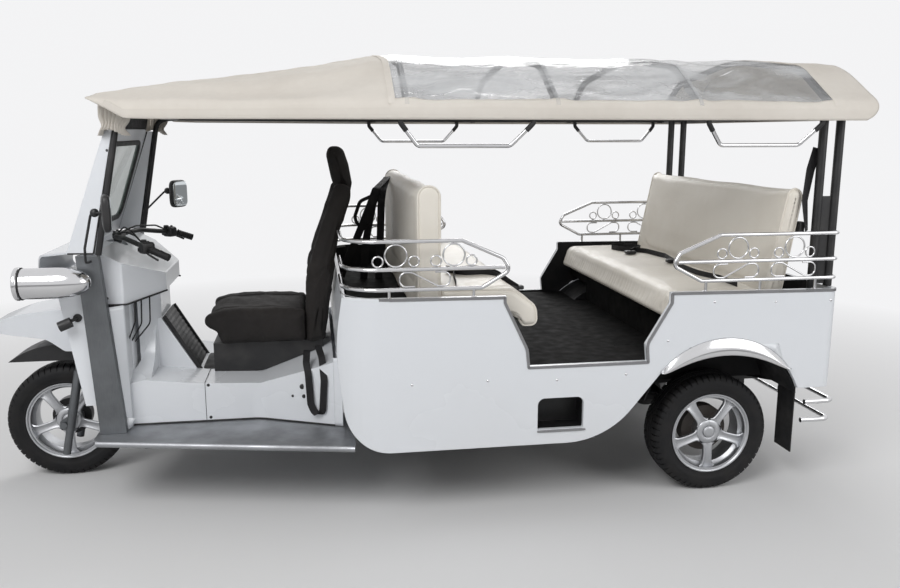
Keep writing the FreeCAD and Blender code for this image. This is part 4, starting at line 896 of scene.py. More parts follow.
hose = [tube([(434, -286, 1112), (392, -222, 1142), (330, -120, 1150), (276, -44, 1132)], 4, 40, 10),
        tube([(436, 284, 1112), (396, 236, 1140), (330, 110, 1152), (276, 44, 1132)], 4, 40, 10),
        tube([(428, -282, 1118), (372, -200, 1162), (318, -90, 1168), (274, -20, 1134)], 3.5, 50, 10)]
make("handlebar_cables", joined(hose), "rubber", "steering")
make("ribbed_grips", both(mirrored(grip)), "rubber", "steering")
make("hand_levers", lever, "black_plastic", "steering")

# %% [markdown]
# ## Upholstery
# Both benches and the driver's seat are foam in a sewn cover. The section of each cushion is a
# rounded outline. It is carried across the width, drawn in at both ends, and pushed out between the
# seams, where the foam lifts the cover. Piping covers the seams at both ends.


# %% Stuffed forms
def resampled(line, count, closed=True):
    """Points at even distances along a line."""
    line = np.asarray(line, float)
    if closed:
        line = np.concatenate([line, line[:1]])
    run = np.concatenate([[0], np.cumsum(np.linalg.norm(np.diff(line, axis=0), axis=1))])
    places = np.linspace(0, run[-1], count, endpoint=not closed)
    return np.stack([np.interp(places, run, line[:, k]) for k in range(line.shape[1])], axis=1)


def outline_xz(corners, count=150):
    """Rounded closed outline from (x, z, radius); it starts halfway along its first side."""
    pts = np.array([(x, 0, z) for x, z, _ in corners], float)
    start = (pts[0] + pts[-1]) / 2
    bend = {k + 1: r for k, (_, _, r) in enumerate(corners)}
    return resampled(bent([start, *pts, start], bend, 8)[:-1], count)


def outward(line):
    """Unit normals of a closed line in the x-z plane, pointing away from its middle."""
    along = np.roll(line, -1, 0) - np.roll(line, 1, 0)
    normal = np.stack([-along[:, 2], np.zeros(len(line)), along[:, 0]], axis=1)
    normal /= np.linalg.norm(normal, axis=1, keepdims=True)
    area = np.sum(line[:, 0] * np.roll(line[:, 2], -1) - np.roll(line[:, 0], -1) * line[:, 2])
    return normal if area < 0 else -normal


def stuffed(line, half_width, end_r, puff, rows=100):
    """Ring at y drawn in by r (1 - sqrt(1 - t^2)) near an end, pushed out by puff(y, line)."""
    edge = np.sin(np.linspace(0, math.pi / 2, 9))[:-1]
    straight = half_width - end_r
    inner = np.linspace(-straight, straight, rows)[1:-1]
    y = np.concatenate([-straight - end_r * edge[::-1], inner, straight + end_r * edge])
    t = np.clip((np.abs(y) - straight) / end_r, 0, 1)
    drawn = end_r * (1 - np.sqrt(1 - t ** 2))
    normal = outward(line)
    lift = puff(y[:, None], line[None, :, :]) * (1 - t ** 2)[:, None]
    grid = line[None] + normal[None] * (lift - drawn[:, None])[:, :, None]
    grid[:, :, 1] = y[:, None]
    middle = line.mean(axis=0)
    caps = []
    for side, ring in ((-1, grid[0]), (1, grid[-1])):
        shrink = np.array([0.93, 0.8, 0.6, 0.3, 0.0])[:, None, None]
        cap = middle + (ring - middle) * shrink
        cap[:, :, 1] = side * (half_width + 0.001 * (1 - shrink[:, :, 0]))
        caps.append(cap)
    return sheet(np.concatenate([caps[0][::-1], grid, caps[1]]), False, True)


def crowned(y, half_width):
    """1 in the middle of the width and 0 at its ends."""
    return 1 - (y / half_width) ** 4


def seam(distance, width):
    """Bell curve: 1 on the seam, fading over the width."""
    return np.exp(-(distance / width) ** 2)


def above(line, level, soft=30):
    """0 below a height and 1 above it, over a soft step."""
    return np.clip((line[..., 2] - level) / soft, 0, 1)


def piping(line, y, draw, radius=4.0):
    """Cord sewn round a cushion's end: the outline drawn in a little, at one y."""
    ring = line - outward(line) * draw
    ring[:, 1] = y
    return carried(ring, circle(radius, 10), ALONG_Y, closed=True)


def inflate(thing, cap, pinned):
    """Cloth 3% larger than its foam, filled with air for 20 frames. A move m is cut to
    m / (1 + m / cap), so no point ends more than cap away.
    `pinned` marks the points that rest on something or are sewn down."""
    mesh = thing.data
    start = np.empty(len(mesh.vertices) * 3)
    mesh.vertices.foreach_get("co", start)
    start = start.reshape(-1, 3)
    held = thing.vertex_groups.new(name="sewn_down")
    held.add(np.flatnonzero(pinned(start)).tolist(), 1.0, "REPLACE")
    cloth = thing.modifiers.new("filled", "CLOTH")
    cloth.settings.vertex_group_mass = "sewn_down"
    cloth.settings.use_pressure = True
    cloth.settings.uniform_pressure_force = 4.0
    cloth.settings.effector_weights.gravity = 0
    cloth.settings.shrink_min = -0.03
    cloth.settings.tension_stiffness = 25
    cloth.settings.bending_stiffness = 1.5
    cloth.point_cache.frame_end = 20
    for number in range(1, 21):
        bpy.context.scene.frame_set(number)
    shown = thing.evaluated_get(bpy.context.evaluated_depsgraph_get())
    final = np.empty(len(mesh.vertices) * 3)
    shown.data.vertices.foreach_get("co", final)
    thing.modifiers.remove(cloth)
    bpy.context.scene.frame_set(1)
    move = final.reshape(-1, 3) - start
    size = np.maximum(np.linalg.norm(move, axis=1, keepdims=True), 1e-9)
    mesh.vertices.foreach_set("co", (start + move / (1 + size / cap)).ravel())
    mesh.update()
    print(thing.name, "moved up to", round(float(size.max()) * 1000, 1), "mm before the cap")


def sewn(low, side):
    """Marks the points below `low` or further out than `side`, in metres."""
    return lambda p: (p[:, 2] < low) | (np.abs(p[:, 1]) > side)


def cushion(name, node, shape, pipes, cap, pinned, finish="cream_vinyl"):
    """A padded piece, filled with air, and its piping."""
    thing = make(name, shape, finish, angle=70, node=node)
    inflate(thing, cap, pinned)
    if pipes:
        make(name + "_piping", joined(pipes), finish, angle=80)


# %% [markdown]
# The vinyl of a bench is gathered over the front edge, so the nose carries small pleats that run
# down and fade out on top. The sitting places are worn a little lower.

# %% Benches
BENCH_HALF = 740.0
rng = np.random.default_rng(11)
PLEAT_PLACES = np.cumsum(rng.uniform(22, 44, 60)) - 800
PLEAT_DEPTHS = rng.uniform(0.7, 2.6, 60)


def pleats(y, line, nose_x, top_z, way=1):
    """Sum of thin dents at uneven places, strongest where the cover turns over the nose."""
    drift = 14 * np.sin(line[..., 2] * 0.03 + 2.0 * np.floor(y / 160))
    dents = sum(d * seam(y + drift * 0.3 - p, 5.5) for p, d in zip(PLEAT_PLACES, PLEAT_DEPTHS))
    near = seam(way * (line[..., 0] - nose_x), 70) * np.clip((top_z + 12 - line[..., 2]) / 60, 0, 1)
    return -dents * near


def pair_of_pipes(line, inset):
    """Piping at both ends of a bench cushion."""
    return [piping(line, s * (BENCH_HALF - inset), 2.0) for s in (-1, 1)]


def bench_puff(nose_x, top_z, way):
    """Crown on top, two worn places, pleats at the nose and a slow slack all over."""
    def puff(y, line):
        top = above(line, top_z - 40) * crowned(y, BENCH_HALF)
        worn = 5 * (seam(y - 360, 170) + seam(y + 360, 170)) * above(line, top_z - 15, 12)
        slack = 2.2 * np.sin(y * 0.021 + line[..., 0] * 0.013) * np.sin(line[..., 2] * 0.022 + 1)
        return 7 * top - worn + pleats(y, line, nose_x, top_z, way) + slack * crowned(y, BENCH_HALF)
    return puff


def back_puff(x_front, way):
    """A hollow at the small of the back, a roll above it and a slow slack."""
    def puff(y, line):
        face = np.clip(way * (line[..., 0] - x_front) / 18, 0, 1)
        hollow = -6 * seam(line[..., 2] - 1020, 60) + 7 * seam(line[..., 2] - 1180, 110)
        slack = 2.5 * np.sin(y * 0.011 + 1.3) * np.sin(line[..., 2] * 0.017)
        return (hollow * face + slack) * crowned(y, BENCH_HALF)
    return puff


front_seat_line = outline_xz([(1661.3, 840, 10), (1661.3, 956, 16), (1955, 954, 70), (2060, 880, 62),
                              (2064, 796, 28), (2000, 796, 22), (1972, 840, 14)])
rear_seat_line = outline_xz([(2612, 806, 20), (2648, 920, 45), (3040, 922, 14), (3045, 806, 10)])
front_back_line = outline_xz([(1564, 840, 12), (1564, 1379, 46), (1657, 1379, 46), (1657, 840, 12)])
rear_back_line = outline_xz([(3052, 806, 14), (3156, 1352, 38), (3226, 1352, 38), (3140, 806, 14)])
cushion("front_bench_seat_pad", "front_bench_cushion",
        stuffed(front_seat_line, BENCH_HALF - 1, 26, bench_puff(2055, 960, 1), 190),
        pair_of_pipes(front_seat_line, 14), 0.007, sewn(0.87, 0.722))
cushion("rear_bench_seat_pad", "rear_bench_cushion",
        stuffed(rear_seat_line, BENCH_HALF - 1, 26, bench_puff(2622, 926, -1), 190),
        pair_of_pipes(rear_seat_line, 14), 0.007, sewn(0.84, 0.722))
cushion("front_bench_back_pad", "front_bench_back",
        stuffed(front_back_line, BENCH_HALF - 2, 18, back_puff(1590, 1)),
        pair_of_pipes(front_back_line, 6), 0.009, sewn(0.97, 0.728))
cushion("rear_bench_back_pad", "rear_bench_back",
        stuffed(rear_back_line, BENCH_HALF - 2, 30, back_puff(3100, -1)),
        pair_of_pipes(rear_back_line, 16), 0.009, sewn(0.94, 0.72))

# %% [markdown]
# The driver's seat wears a loose black cover: a thick front roll, side bolsters and a narrow head
# rest that grows out of the back. The cover hangs past the foam at the sides as a skirt.


# %% Driver's seat
def seat_puff(y, line):
    """Side bolsters with a sewn channel inside them, slack, and sharp tucks where the cover is loose."""
    bolster = 10 * seam(np.abs(y) - 200, 34) * above(line, 755, 20)
    channel = -6 * seam(np.abs(y) - 150, 9) * above(line, 745, 30)
    x, z = line[..., 0], line[..., 2]
    slack = 3.5 * np.sin(y * 0.03 + x * 0.02) * np.sin(z * 0.06 + x * 0.01)
    tucks = 3 * np.abs(np.sin(y * 0.017 + x * 0.041 + 2 * np.sin(z * 0.03))) ** 0.6
    smooth_top = 1 - 0.5 * above(line, 760, 30)
    return bolster * 0.6 + channel + slack + 2 * above(line, 770, 20) - tucks * smooth_top


def seat_back_puff(y, line):
    """Bolsters and channels on the front face, one cross seam, tucks all over."""
    face = np.clip((1240 + (line[..., 2] - 830) * 0.19 - line[..., 0]) / 60, 0, 1)
    shoulder = np.clip((line[..., 2] - 1210) / 150, 0, 1)
    bolster = 12 * seam(np.abs(y) - 185, 32) * face
    tucks = 3 * np.abs(np.sin(line[..., 2] * 0.022 + y * 0.012 + 1.5 * np.sin(line[..., 0] * 0.03))) ** 0.6
    shaped = bolster - 6 * seam(np.abs(y) - 130, 8) * face - 5 * seam(line[..., 2] - 1010, 12) * face
    return shaped - 2 * shoulder - tucks


seat_line = outline_xz([(735, 642, 14), (708, 695, 60), (662, 735, 26), (664, 770, 28), (745, 788, 90),
                        (930, 790, 300), (1108, 782, 20), (1108, 642, 14)])
back_line = outline_xz([(1116, 642, 12), (1120, 829, 100), (1134, 967, 200), (1228, 1229, 200),
                        (1264, 1345, 30), (1326, 1357, 28), (1328, 1287, 80), (1258, 1131, 200),
                        (1240, 970, 200), (1222, 833, 90), (1196, 642, 12)])
rest_line = outline_xz([(1266, 1322, 18), (1250, 1375, 40), (1229, 1483, 50), (1243, 1517, 24),
                        (1297, 1517, 34), (1322, 1440, 60), (1336, 1355, 14), (1326, 1306, 14)])
cushion("driver_seat_pad", "driver_seat_cushion", stuffed(seat_line, 244, 34, seat_puff), [], 0.008,
        lambda p: (p[:, 2] < 0.66) | (p[:, 0] > -0.47), "black_fabric")
back_shape = stuffed(back_line, 233, 34, seat_back_puff)
back_shape[0][:, 1] *= 1 - 0.17 * np.clip((back_shape[0][:, 2] - 1000) / 350, 0, 1) ** 1.5
cushion("driver_back_pad", "driver_seat_back", back_shape, [], 0.006, sewn(0.86, 1), "black_fabric")
rest_shape = stuffed(rest_line, 128, 42, lambda y, line: 4 * crowned(y, 128) + 0 * line[..., 0], 60)
rest = make("head_rest_pad", rest_shape, "black_fabric", angle=70)

# %% [markdown]
# ## Canopy
# The roof is one cloth skin pulled over four bows and two side tubes. Its section at any station is
# a polyline of seven corners with rounded bends; between stations the corners slide in a straight
# line. Between the bows the cloth sinks a little, and it is slack enough to ripple.
# The middle is clear vinyl with welded seams, and the back closes in a rounded end.

# %% Canopy sheet
CANOPY_STATIONS = (310, 455, 560, 1455, 3436)
HALF_WIDTHS = (560, 607, 640, 880, 880)
EDGES, SKIRTS = (1718, 1641, 1638, 1635, 1635), (1722, 1702, 1700, 1702, 1702)
SHOULDERS, CROWNS = (1746, 1757, 1765, 1869, 1869), (1778, 1799, 1815, 1946, 1946)
BOW_X = np.array([560, 1512, 2090, 2670, 3238])
CLEAR_START, CLEAR_END, CLEAR_EDGE_Z = 1455, 3250, 1706
SAG, PULL_DEPTH, FAN_DEPTH = 9, 15, 24
ACROSS = 181


def section(x):
    """Half-corner heights at x, mirrored, bent, and spread evenly along the cloth."""
    w, edge, skirt, shoulder, crown = (np.interp(x, CANOPY_STATIONS, row) for row in
                                       (HALF_WIDTHS, EDGES, SKIRTS, SHOULDERS, CROWNS))
    half = [(w, edge), (w, skirt), (w * 0.7, shoulder)]
    corners = [(x, -y, z) for y, z in half] + [(x, 0, crown)] + [(x, y, z) for y, z in half[::-1]]
    foot = min(60.0, skirt - edge)
    soft = {"all": 60.0, 1: foot, 2: 260.0, 3: 1500.0 if x > 1400 else 1900.0, 4: 260.0, 5: foot}
    return resampled(bent(corners, soft, 2.5), ACROSS, closed=False)


crease_rng = np.random.default_rng(4)
CREASES = [(crease_rng.uniform(-0.03, 0.03), crease_rng.uniform(-42, 42), crease_rng.uniform(0, 6.3),
            crease_rng.uniform(0.6, 1.6)) for _ in range(16)]


def creases(x, s):
    """Sum of folded waves depth |sin(a x + b s + c)|^0.6, so the folds have sharp valleys."""
    folds = [depth * np.abs(np.sin(a * x + b * s + c + 0.8 * np.sin(0.011 * x + 3 * s))) ** 0.6
             for a, b, c, depth in CREASES]
    return sum(folds) / 6


def fans(x, s):
    """Creases that run out from the foot of each bow: |sin(7 angle)|^0.6 fading over 240 mm."""
    up = (0.92 - np.abs(s)) * 970
    total = 0 * x
    for bow in BOW_X[1:]:
        fold = np.abs(np.sin(7 * np.arctan2(up, x - bow) + bow)) ** 0.6
        total = total + fold * np.exp(-((x - bow) ** 2 + up ** 2) / 240 ** 2)
    return total


def canopy_grid(stations):
    """Sections along x, lowered by sag between bows and moved by ripples and sharper creases."""
    grid = np.array([section(x) for x in stations])
    x, y, z = grid[..., 0], grid[..., 1], grid[..., 2]
    gap = np.min(np.abs(x[..., None] - BOW_X), axis=-1)
    s = np.linspace(-1, 1, ACROSS)[None, :]
    top = np.clip((z - 1690) / 60, 0, 1)
    sag = SAG * np.clip(gap / 290, 0, 1) ** 1.5 * top * (x < 3300)
    ripple = 2.6 * np.sin(x * 0.021 + 5 * s) * np.sin(9 * s + x * 0.004) + 1.4 * np.sin(x * 0.047 - 14 * s)
    slack = np.clip((x - 1380) / 120, 0, 1) * np.clip(gap / 60, 0.15, 1) * 4.6 + 0.9
    ripple = ripple + (creases(x, s) - 1.6) * slack * (x < 3300)
    ripple = ripple + FAN_DEPTH * fans(x, s) * np.clip(gap / 70, 0, 1) * (x > 1460) * (x < 3245)
    flank = np.clip((np.abs(s) - 0.42) / 0.15, 0, 1) * np.clip((0.97 - np.abs(s)) / 0.08, 0, 1)
    pulls = np.abs(np.sin(13 * np.abs(s) + 0.9 * np.sin(x * 0.0045) + 0.0012 * x)) ** 0.7
    fading = np.clip((x - 380) / 500, 0, 1) * np.clip((1450 - x) / 90, 0, 1)
    z_pull = PULL_DEPTH * (pulls - 0.6) * flank * (x < 1440) * fading
    skirt = np.clip((np.abs(s) - 0.9) / 0.1, 0, 1)
    wave = 3.2 * np.sin(x * 0.018 + 2 * np.sign(s)) * skirt
    grid[..., 2] -= sag + 0.8 * ripple * top + 3.0 + np.maximum(z_pull, -2.0)
    grid[..., 1] -= np.sign(y) * (np.abs(wave) + 1.5 * skirt + 0.5 * np.maximum(z_pull, 0))
    return grid


front_grid = canopy_grid(np.concatenate([np.linspace(310, 560, 22), np.linspace(572, CLEAR_START, 76)]))
middle_grid = canopy_grid(np.linspace(CLEAR_START, CLEAR_END, 151))
back_grid = canopy_grid(np.linspace(CLEAR_END, 3285, 5))
clear_from = int(np.argmax(middle_grid[40, :, 2] > CLEAR_EDGE_Z))
clear_to = ACROSS - 1 - clear_from
sides = [middle_grid[:, :clear_from + 1], middle_grid[:, clear_to:]]
clear_grid = middle_grid[:, clear_from:clear_to + 1]


def end_x(z):
    """Side outline of the closed back: a 150 mm arc below the crown, a 62 mm arc at the foot."""
    up = np.clip(z - 1787, 0, 149)
    down = np.clip(1697 - z, 0, 61)
    return 3434 - 150 + np.sqrt(150 ** 2 - up ** 2) - (62 - np.sqrt(62 ** 2 - down ** 2))


rim_section = back_grid[-1]
wrap = np.linspace(0, 1, 13)[:, None, None]
edge_target = rim_section.copy()
edge_target[:, 0] = end_x(edge_target[:, 2])
back_wrap = rim_section * (1 - wrap) + edge_target * wrap
rim_z = np.linspace(1636, 1930, 60)
side_y = np.interp(rim_z, rim_section[:91, 2], -rim_section[:91, 1])[:, None]
share = np.linspace(-1, 1, 90)[None, :]
hollow = 7 * (1 - share ** 2) * np.clip((rim_z - 1640) / 60, 0, 1)[:, None]
back_wall = np.stack([end_x(rim_z)[:, None] - hollow, side_y * share, rim_z[:, None] + 0 * share], axis=-1)
skin = joined([sheet(grid) for grid in (front_grid, *sides, back_grid, back_wrap, back_wall[:, ::-1])])
canopy = make("canopy_cloth_skin", skin, "cream_canvas", closed=False, angle=60, wall=0.003,
              node="canopy_cloth")
window_sheet = make("canopy_clear_sheet", sheet(clear_grid), "clear_vinyl", closed=False, angle=60,
                    wall=0.002, node="canopy_windows")


# %% [markdown]
# Strips of doubled cloth cover the welds: along both edges of the clear sheet, across it over
# each bow, and as a hem round the bottom. Each strip is the skin's own line with a flat profile.

# %% Hems and welds
def rib(x, half_wide):
    """Flat strip over the clear sheet at one station, a little above the skin."""
    outer = canopy_grid([x, x + 1])[0] * [1, 1.0012, 1] + [0, 0, 1.2]
    return flat_bar(outer[clear_from - 3:clear_to + 4], 1.2, half_wide, ALONG_X)


skin_rows = np.concatenate([front_grid, middle_grid[1:]])
seams = [flat_bar(skin_rows[6:, edge] + [0, 0, 8], 2.6, 12, ALONG_Z) for edge in (2, ACROSS - 3)]
seams += [rib(x, 13) for x in (CLEAR_START, CLEAR_END)]
hems = make("canopy_hems", joined(seams), "cream_canvas", angle=50)
weld_strips = make("canopy_welds", joined([rib(x, 8) for x in BOW_X[1:-1]]), "clear_vinyl", angle=50)


def spread(*grids):
    """Area of grids of points in square metres: the sum of their cells, each as two triangles."""
    total = 0.0
    for grid in grids:
        a, b, c, d = grid[:-1, :-1], grid[1:, :-1], grid[1:, 1:], grid[:-1, 1:]
        total += np.linalg.norm(np.cross(b - a, c - a), axis=-1).sum() / 2
        total += np.linalg.norm(np.cross(c - a, d - a), axis=-1).sum() / 2
    return float(total) / 1e6


def run_length(line):
    """Length of a line of points in metres."""
    return float(np.linalg.norm(np.diff(line, axis=0), axis=1).sum()) / 1000


girth = run_length(canopy_grid([CLEAR_START, CLEAR_START + 1])[0])
cloth_area = spread(front_grid, *sides, back_grid, back_wrap, back_wall)
clear_girth = run_length(clear_grid[40]) * 1.02
min(spread(clear_grid), clear_girth * 1.82)
print("cloth", round(cloth_area, 3), "girth", round(girth, 3), "clear girth", round(clear_girth, 3))

# %% [markdown]
# At both front corners the cloth is gathered and tied down to the top of the screen. The folds open
# towards the bottom: the gathered curtain is a bent wall whose ripples grow with the drop. A strip
# of webbing between the two corners closes the gap over the screen.

# %% Gathered corners
def gathered_corner():
    """Wall through four plan points, rippled by sin(24 pi t) times its share of the drop."""
    plan = resampled([(332, -440, 0), (352, -500, 0), (420, -490, 0), (452, -462, 0)], 121, closed=False)
    drop = np.linspace(0, 1, 22)[:, None]
    t = np.linspace(0, 1, 121)[None, :]
    fold = (3 + 9 * drop) * np.sin(24 * math.pi * t + 1.5 * drop) * (1 - 0.5 * seam(drop - 0.75, 0.12))
    tie = 1 - 0.28 * seam(drop - 0.75, 0.2)
    middle = plan.mean(axis=0)
    x = middle[0] + (plan[None, :, 0] - middle[0]) * tie - 10 * drop + 0.6 * fold
    y = middle[1] + (plan[None, :, 1] - middle[1]) * tie + 0.8 * fold + 12 * drop
    z = 1726 - (142 + 12 * np.sin(7 * t + 1)) * drop - 40 * t * (1 - drop)
    return sheet(np.stack([x, y, z + 0 * x], axis=-1))


header_x, header_z = np.array([(341, 1588), (352, 1640), (366, 1700)], float).T
header_y = np.linspace(-446, 446, 40)[:, None]
header_grid = np.stack(np.broadcast_arrays(header_x, header_y, header_z), axis=-1)
flap = make("screen_header_flap", sheet(header_grid), "webbing", slot="black_fabric", closed=False,
            wall=0.002)
corner = gathered_corner()
gathers = make("gathered_canopy_corners", both(corner), "cream_canvas", closed=False, wall=0.002, angle=80)
corner_area = 2 * spread(corner[0].reshape(22, 121, 3))
print("gathered corners", round(corner_area, 4), "square metres")

# %% [markdown]
# ## Roof frame
# Under the cloth run two bent side tubes that come down as the cab's front posts, four bows and
# two cross tubes. Straps lash the cloth to them, but most of that is hidden from outside.

# %% Roof tubes and bows
roof_line = [(292.7, -474, 1096.7), (399, -446, 1648), (490, -466, 1655), (1490, HOOP_Y, 1655),
             (3380, HOOP_Y, 1655)]
side_tubes = both(tube(roof_line, 12.5, {"all": 44.0, 1: 60.0, 2: 60.0}, 18))
bow_parts = []
for x in BOW_X[1:]:
    inner = section(x) + [0, 0, -17]
    inner[:, 1] *= 1 - 16 / 880
    keep = inner[inner[:, 2] > 1640]
    bow_parts.append(flat_bar(keep, 11, 11, ALONG_X))
for x, half in ((3380, 864), (490, 466)):
    bow_parts.append(tube([(x, -half, 1655), (x, half, 1655)], 12.5, 0, 18))
make("roof_tubes_and_bows", joined([side_tubes, *bow_parts]), "black_steel", node="roof_frame")

# %% [markdown]
# ## Trims on the tub
# A folded steel strip caps the top edge and the door opening. Its line is the panel's own outline,
# so a flat profile carried along it lies on the edge everywhere, which a bevel of the panel wouldn't.

# %% Edge strips
PANEL_Y = -830.0
STRIP_TALL, STRIP_OUT = 6.0, 2.4

doorway = [(1902, 917), (1996, 721), (2004, 644), (2516, 644), (2508, 721), (2609, 893)]
ahead, behind = ([(x, tub_top(x) - 6) for x in pair] for pair in ((1440, 1902), (2609, 3330)))
top_edge = ahead + doorway + behind
panel_line = bent([(x, PANEL_Y, z) for x, z in top_edge], {"all": 3.0, 3: 60.0, 6: 60.0})
corner_line = bent([(1440, PANEL_Y, 944), (1257, PANEL_Y, 945), (1257, -640, 945)], 170)
tail_line = bent([(3330, PANEL_Y, 926), (3361, PANEL_Y, 926), (3361, -640, 926)], 38)
trim = [flat_bar(panel_line, STRIP_TALL, STRIP_OUT, ALONG_Y)]
trim += [flat_bar(line, STRIP_OUT, STRIP_TALL, ALONG_Z) for line in (corner_line, tail_line)]
make("tub_edge_strips", both(*trim), "steel_trim", slot="chrome")

# %% [markdown]
# The side panel's arch is stepped on the CAD and leaves a small gap behind the crescent. A thin
# infill closes it, and a plate closes each rear corner of the floor above the wheel.

# %% Floor corners and arch corners
# The infill reaches from the arch's circle to two straight edges: z = 338 and the slanted one.
t = np.radians(np.linspace(66, 43, 12))
far = np.minimum(338 / np.sin(t), (238 * 202 + 338 * 68) / (202 * np.cos(t) + 68 * np.sin(t)))
reach = np.stack([np.full(12, 364.0), np.maximum(far, 366.0) + 1.5], axis=1)[..., None]
flat_way = np.stack([np.cos(t), 0 * t, np.sin(t)], axis=1)[:, None]
infill = sheet(np.array([2862, -829.2, 362]) + reach * flat_way)
make("arch_corner_infill", both(infill), "white_paint", closed=False, wall=0.0015)
make("floor_corner_plates", both(block((2553, -662, 637), (76, 144, 3), 0.12, 0.2)), "black_floor")

# %% [markdown]
# The bright crescent over a wheel is pressed sheet, domed across and pointed at both ends. It could
# be cut out of a ring, but a grid over angle and width gets the points and the dome from two sines.

# %% Wheel arch crescents
ARCH_CENTRE, ARCH_R, ARCH_DEEP = np.array([2862.0, -830.4, 362.0]), 374.0, 72
t = np.linspace(math.radians(38), math.radians(141), 90)
depth = np.sin(np.clip((t - t[0]) / (t[-1] - t[0]), 0, 1) * math.pi) ** 0.55
lane = np.linspace(0, 1, 15)[:, None]
radius = ARCH_R - ARCH_DEEP * depth * lane
stand = -(1 + 19 * np.sin(np.clip(lane * 1.05, 0, 1) * math.pi * 0.62))
crescent = np.stack([radius * np.cos(t), stand + 0 * radius, radius * np.sin(t)], axis=-1) + ARCH_CENTRE
make("arch_crescents", both(sheet(crescent)), "chrome", closed=False, wall=0.003, angle=60,
     node="arch_strips")


# %% [markdown]
# Domed screws hold the skin panels, and darker, larger ones the console, the cheeks and the screen.
# All are one turned profile at different sizes.

# %% Screws
def screw(centre, radius=5.5):
    """Domed head with a shallow rim, standing 2.6 mm proud of the near side."""
    head = [(0, 2.6), (radius * 0.5, 2.3), (radius * 0.85, 1.3), (radius, 0), (0, -1)]
    return turned([(r, -s) for r, s in head], centre, "Y", 20)


PANEL_SCREWS = ((1526, 595), (1835, 597), (2124, 587), (2421, 597), (2600, 733), (2796, 892), (3072, 884),
                (3325, 883))
DARK_SCREWS = ((682, -380, 500, 7), (686, -380, 353, 7), (1060, -380, 348, 7), (296, -400, 903, 6),
               (352, -451, 1514, 6), (1088, -468, 500, 12), (1094, -471, 457, 9), (1045, -449, 454, 6))
make("panel_screws", both(*[screw((x, PANEL_Y, z)) for x, z in PANEL_SCREWS]), "chrome")
make("console_screws", both(*[screw(place, radius) for *place, radius in DARK_SCREWS]), "black_plastic")

# %% [markdown]
# ## Windscreen
# The glass sits in a black rubber section. Its line is the rounded opening of the frame, laid on the
# leaning plane of the screen. One wiper parks at the near side, and a rubber cord edges both cheeks.


# %% Rubber section, wiper and cheek edging
def on_screen(y, up, out=0.0):
    """Point on the leaning screen: up the slope from z 1100, out along its normal."""
    slope = np.array([177.0, 0.0, 500.0]) / math.hypot(177, 500)
    normal = np.array([-slope[2], 0.0, slope[0]])
    lift = np.asarray(up, float) * math.hypot(177, 500) / 500
    base = np.stack(np.broadcast_arrays(168.0, y, 1100.0), axis=-1)
    return base + lift[..., None] * slope + out * normal


opening = [(0, 78, 0), (-392, 78, 55), (-352, 438, 55), (352, 438, 55), (392, 78, 55), (0, 78, 0)]
flat = bent([(y, 0, z) for y, z, _ in opening], {k: r for k, (_, _, r) in enumerate(opening)}, 6)[:-1]
ring = on_screen(flat[:, 0], flat[:, 2], -3.0)
rubber_profile = [(-9, -9), (9, -9), (12, -4), (12, 5), (6, 10), (-6, 10), (-12, 5), (-12, -4)]
rubber = carried(ring, rubber_profile, np.array([-0.943, 0.0, 0.334]), closed=True)
make("windscreen_rubber", rubber, "rubber", angle=50, node="windscreen_seal")

arm_line = on_screen(np.array([-150.0, -190, -260, -300]), np.array([60.0, 120, 230, 300]), 16)
blade_line = on_screen(np.array([-240.0, -300, -345]), np.array([150.0, 300, 420]), 10)
pivot = tube([on_screen(np.array(-150.0), np.array(60.0), -4), arm_line[0]], 12, 0)
make("wiper", joined([tube(arm_line, 4, 30), tube(blade_line, 5, 60, 8), pivot]), "black_plastic")

CHEEK_EDGES = (((173, -466, 1104), (348, -436, 1588)), ((276, -478, 1104), (376, -447, 1588)),
               ((276, -479, 1103), (174, -470, 1103)))
make("cheek_edging", both(*[tube(line, 3.5, 0, 10) for line in CHEEK_EDGES]), "rubber")

# %% [markdown]
# ## Cab
# Rubber edging runs under the dash and round the console's foot. Three cables hang from the dash to
# the column. All are thin tubes along a few corners, since nothing about them shows but their line.

# %% Edging and cables
under_dash = bent([(264, -401, 874), (372, -401, 874), (504, -192, 894)], 12)
dash_edge = both(tube(under_dash, 4, 0, 10), tube([(262, -401, 1080), (262, -401, 876)], 3.5, 0, 10))
foot = both(tube([(362, -382, 338), (900, -382, 338), (1224, -531, 338)], 4, 100, 10))
make("cab_edging", joined([dash_edge, foot]), "rubber")

cables = []
for k, (x, y, z) in enumerate(((392, -335, 874), (412, -300, 875), (440, -262, 880))):
    line = [(x, y, z + 8), (x - 4, y - 6, z - 90 - 14 * k), (354, y + 8, z - 170 - 22 * k)]
    cables.append(tube(line, 3.2, 45, 10))
make("under_dash_wiring", joined(cables), "rubber")

# %% [markdown]
# A ribbed black mat covers the slope of the tunnel, between two steel bars and above a base plate.
# Its ribs are real steps in the surface.

# %% Tunnel mat and console seam
# Ribs across the slope: the upper face stands 5 mm proud for two steps, then 3.5 mm for two.
share = np.linspace(0, 1, 57)
slope_line = np.stack([470 + 160 * share, 0 * share, 762 - 278 * share], axis=1)
ribbed = 3.5 + 1.5 * (np.arange(57) % 4 < 2)
edges = [slope_line + np.stack([0.866 * lift * ribbed, dy + 0 * ribbed, 0.5 * lift * ribbed], axis=1)
         for dy, lift in ((-128, 0), (-128, 1), (128, 1), (128, 0))]
mat_bars = [flat_bar([(474, s * 138, 764), (640, s * 138, 476)], 9, 5, ALONG_Y) for s in (-1, 1)]
plate = block((668, 0, 508), (52, 146, 3), 0.2, 0.3)
mat = joined([sheet(np.stack(edges, axis=1), False, True), *mat_bars, plate])
make("tunnel_mat", mat, "rubber", angle=30)

seam_line = [(668, -380.6, 336), (668, -380.6, 509), (668, -379, 512), (668, -150, 512)]
make("console_seam", both(tube(seam_line, 1.1, 4, 8)), "black_plastic")

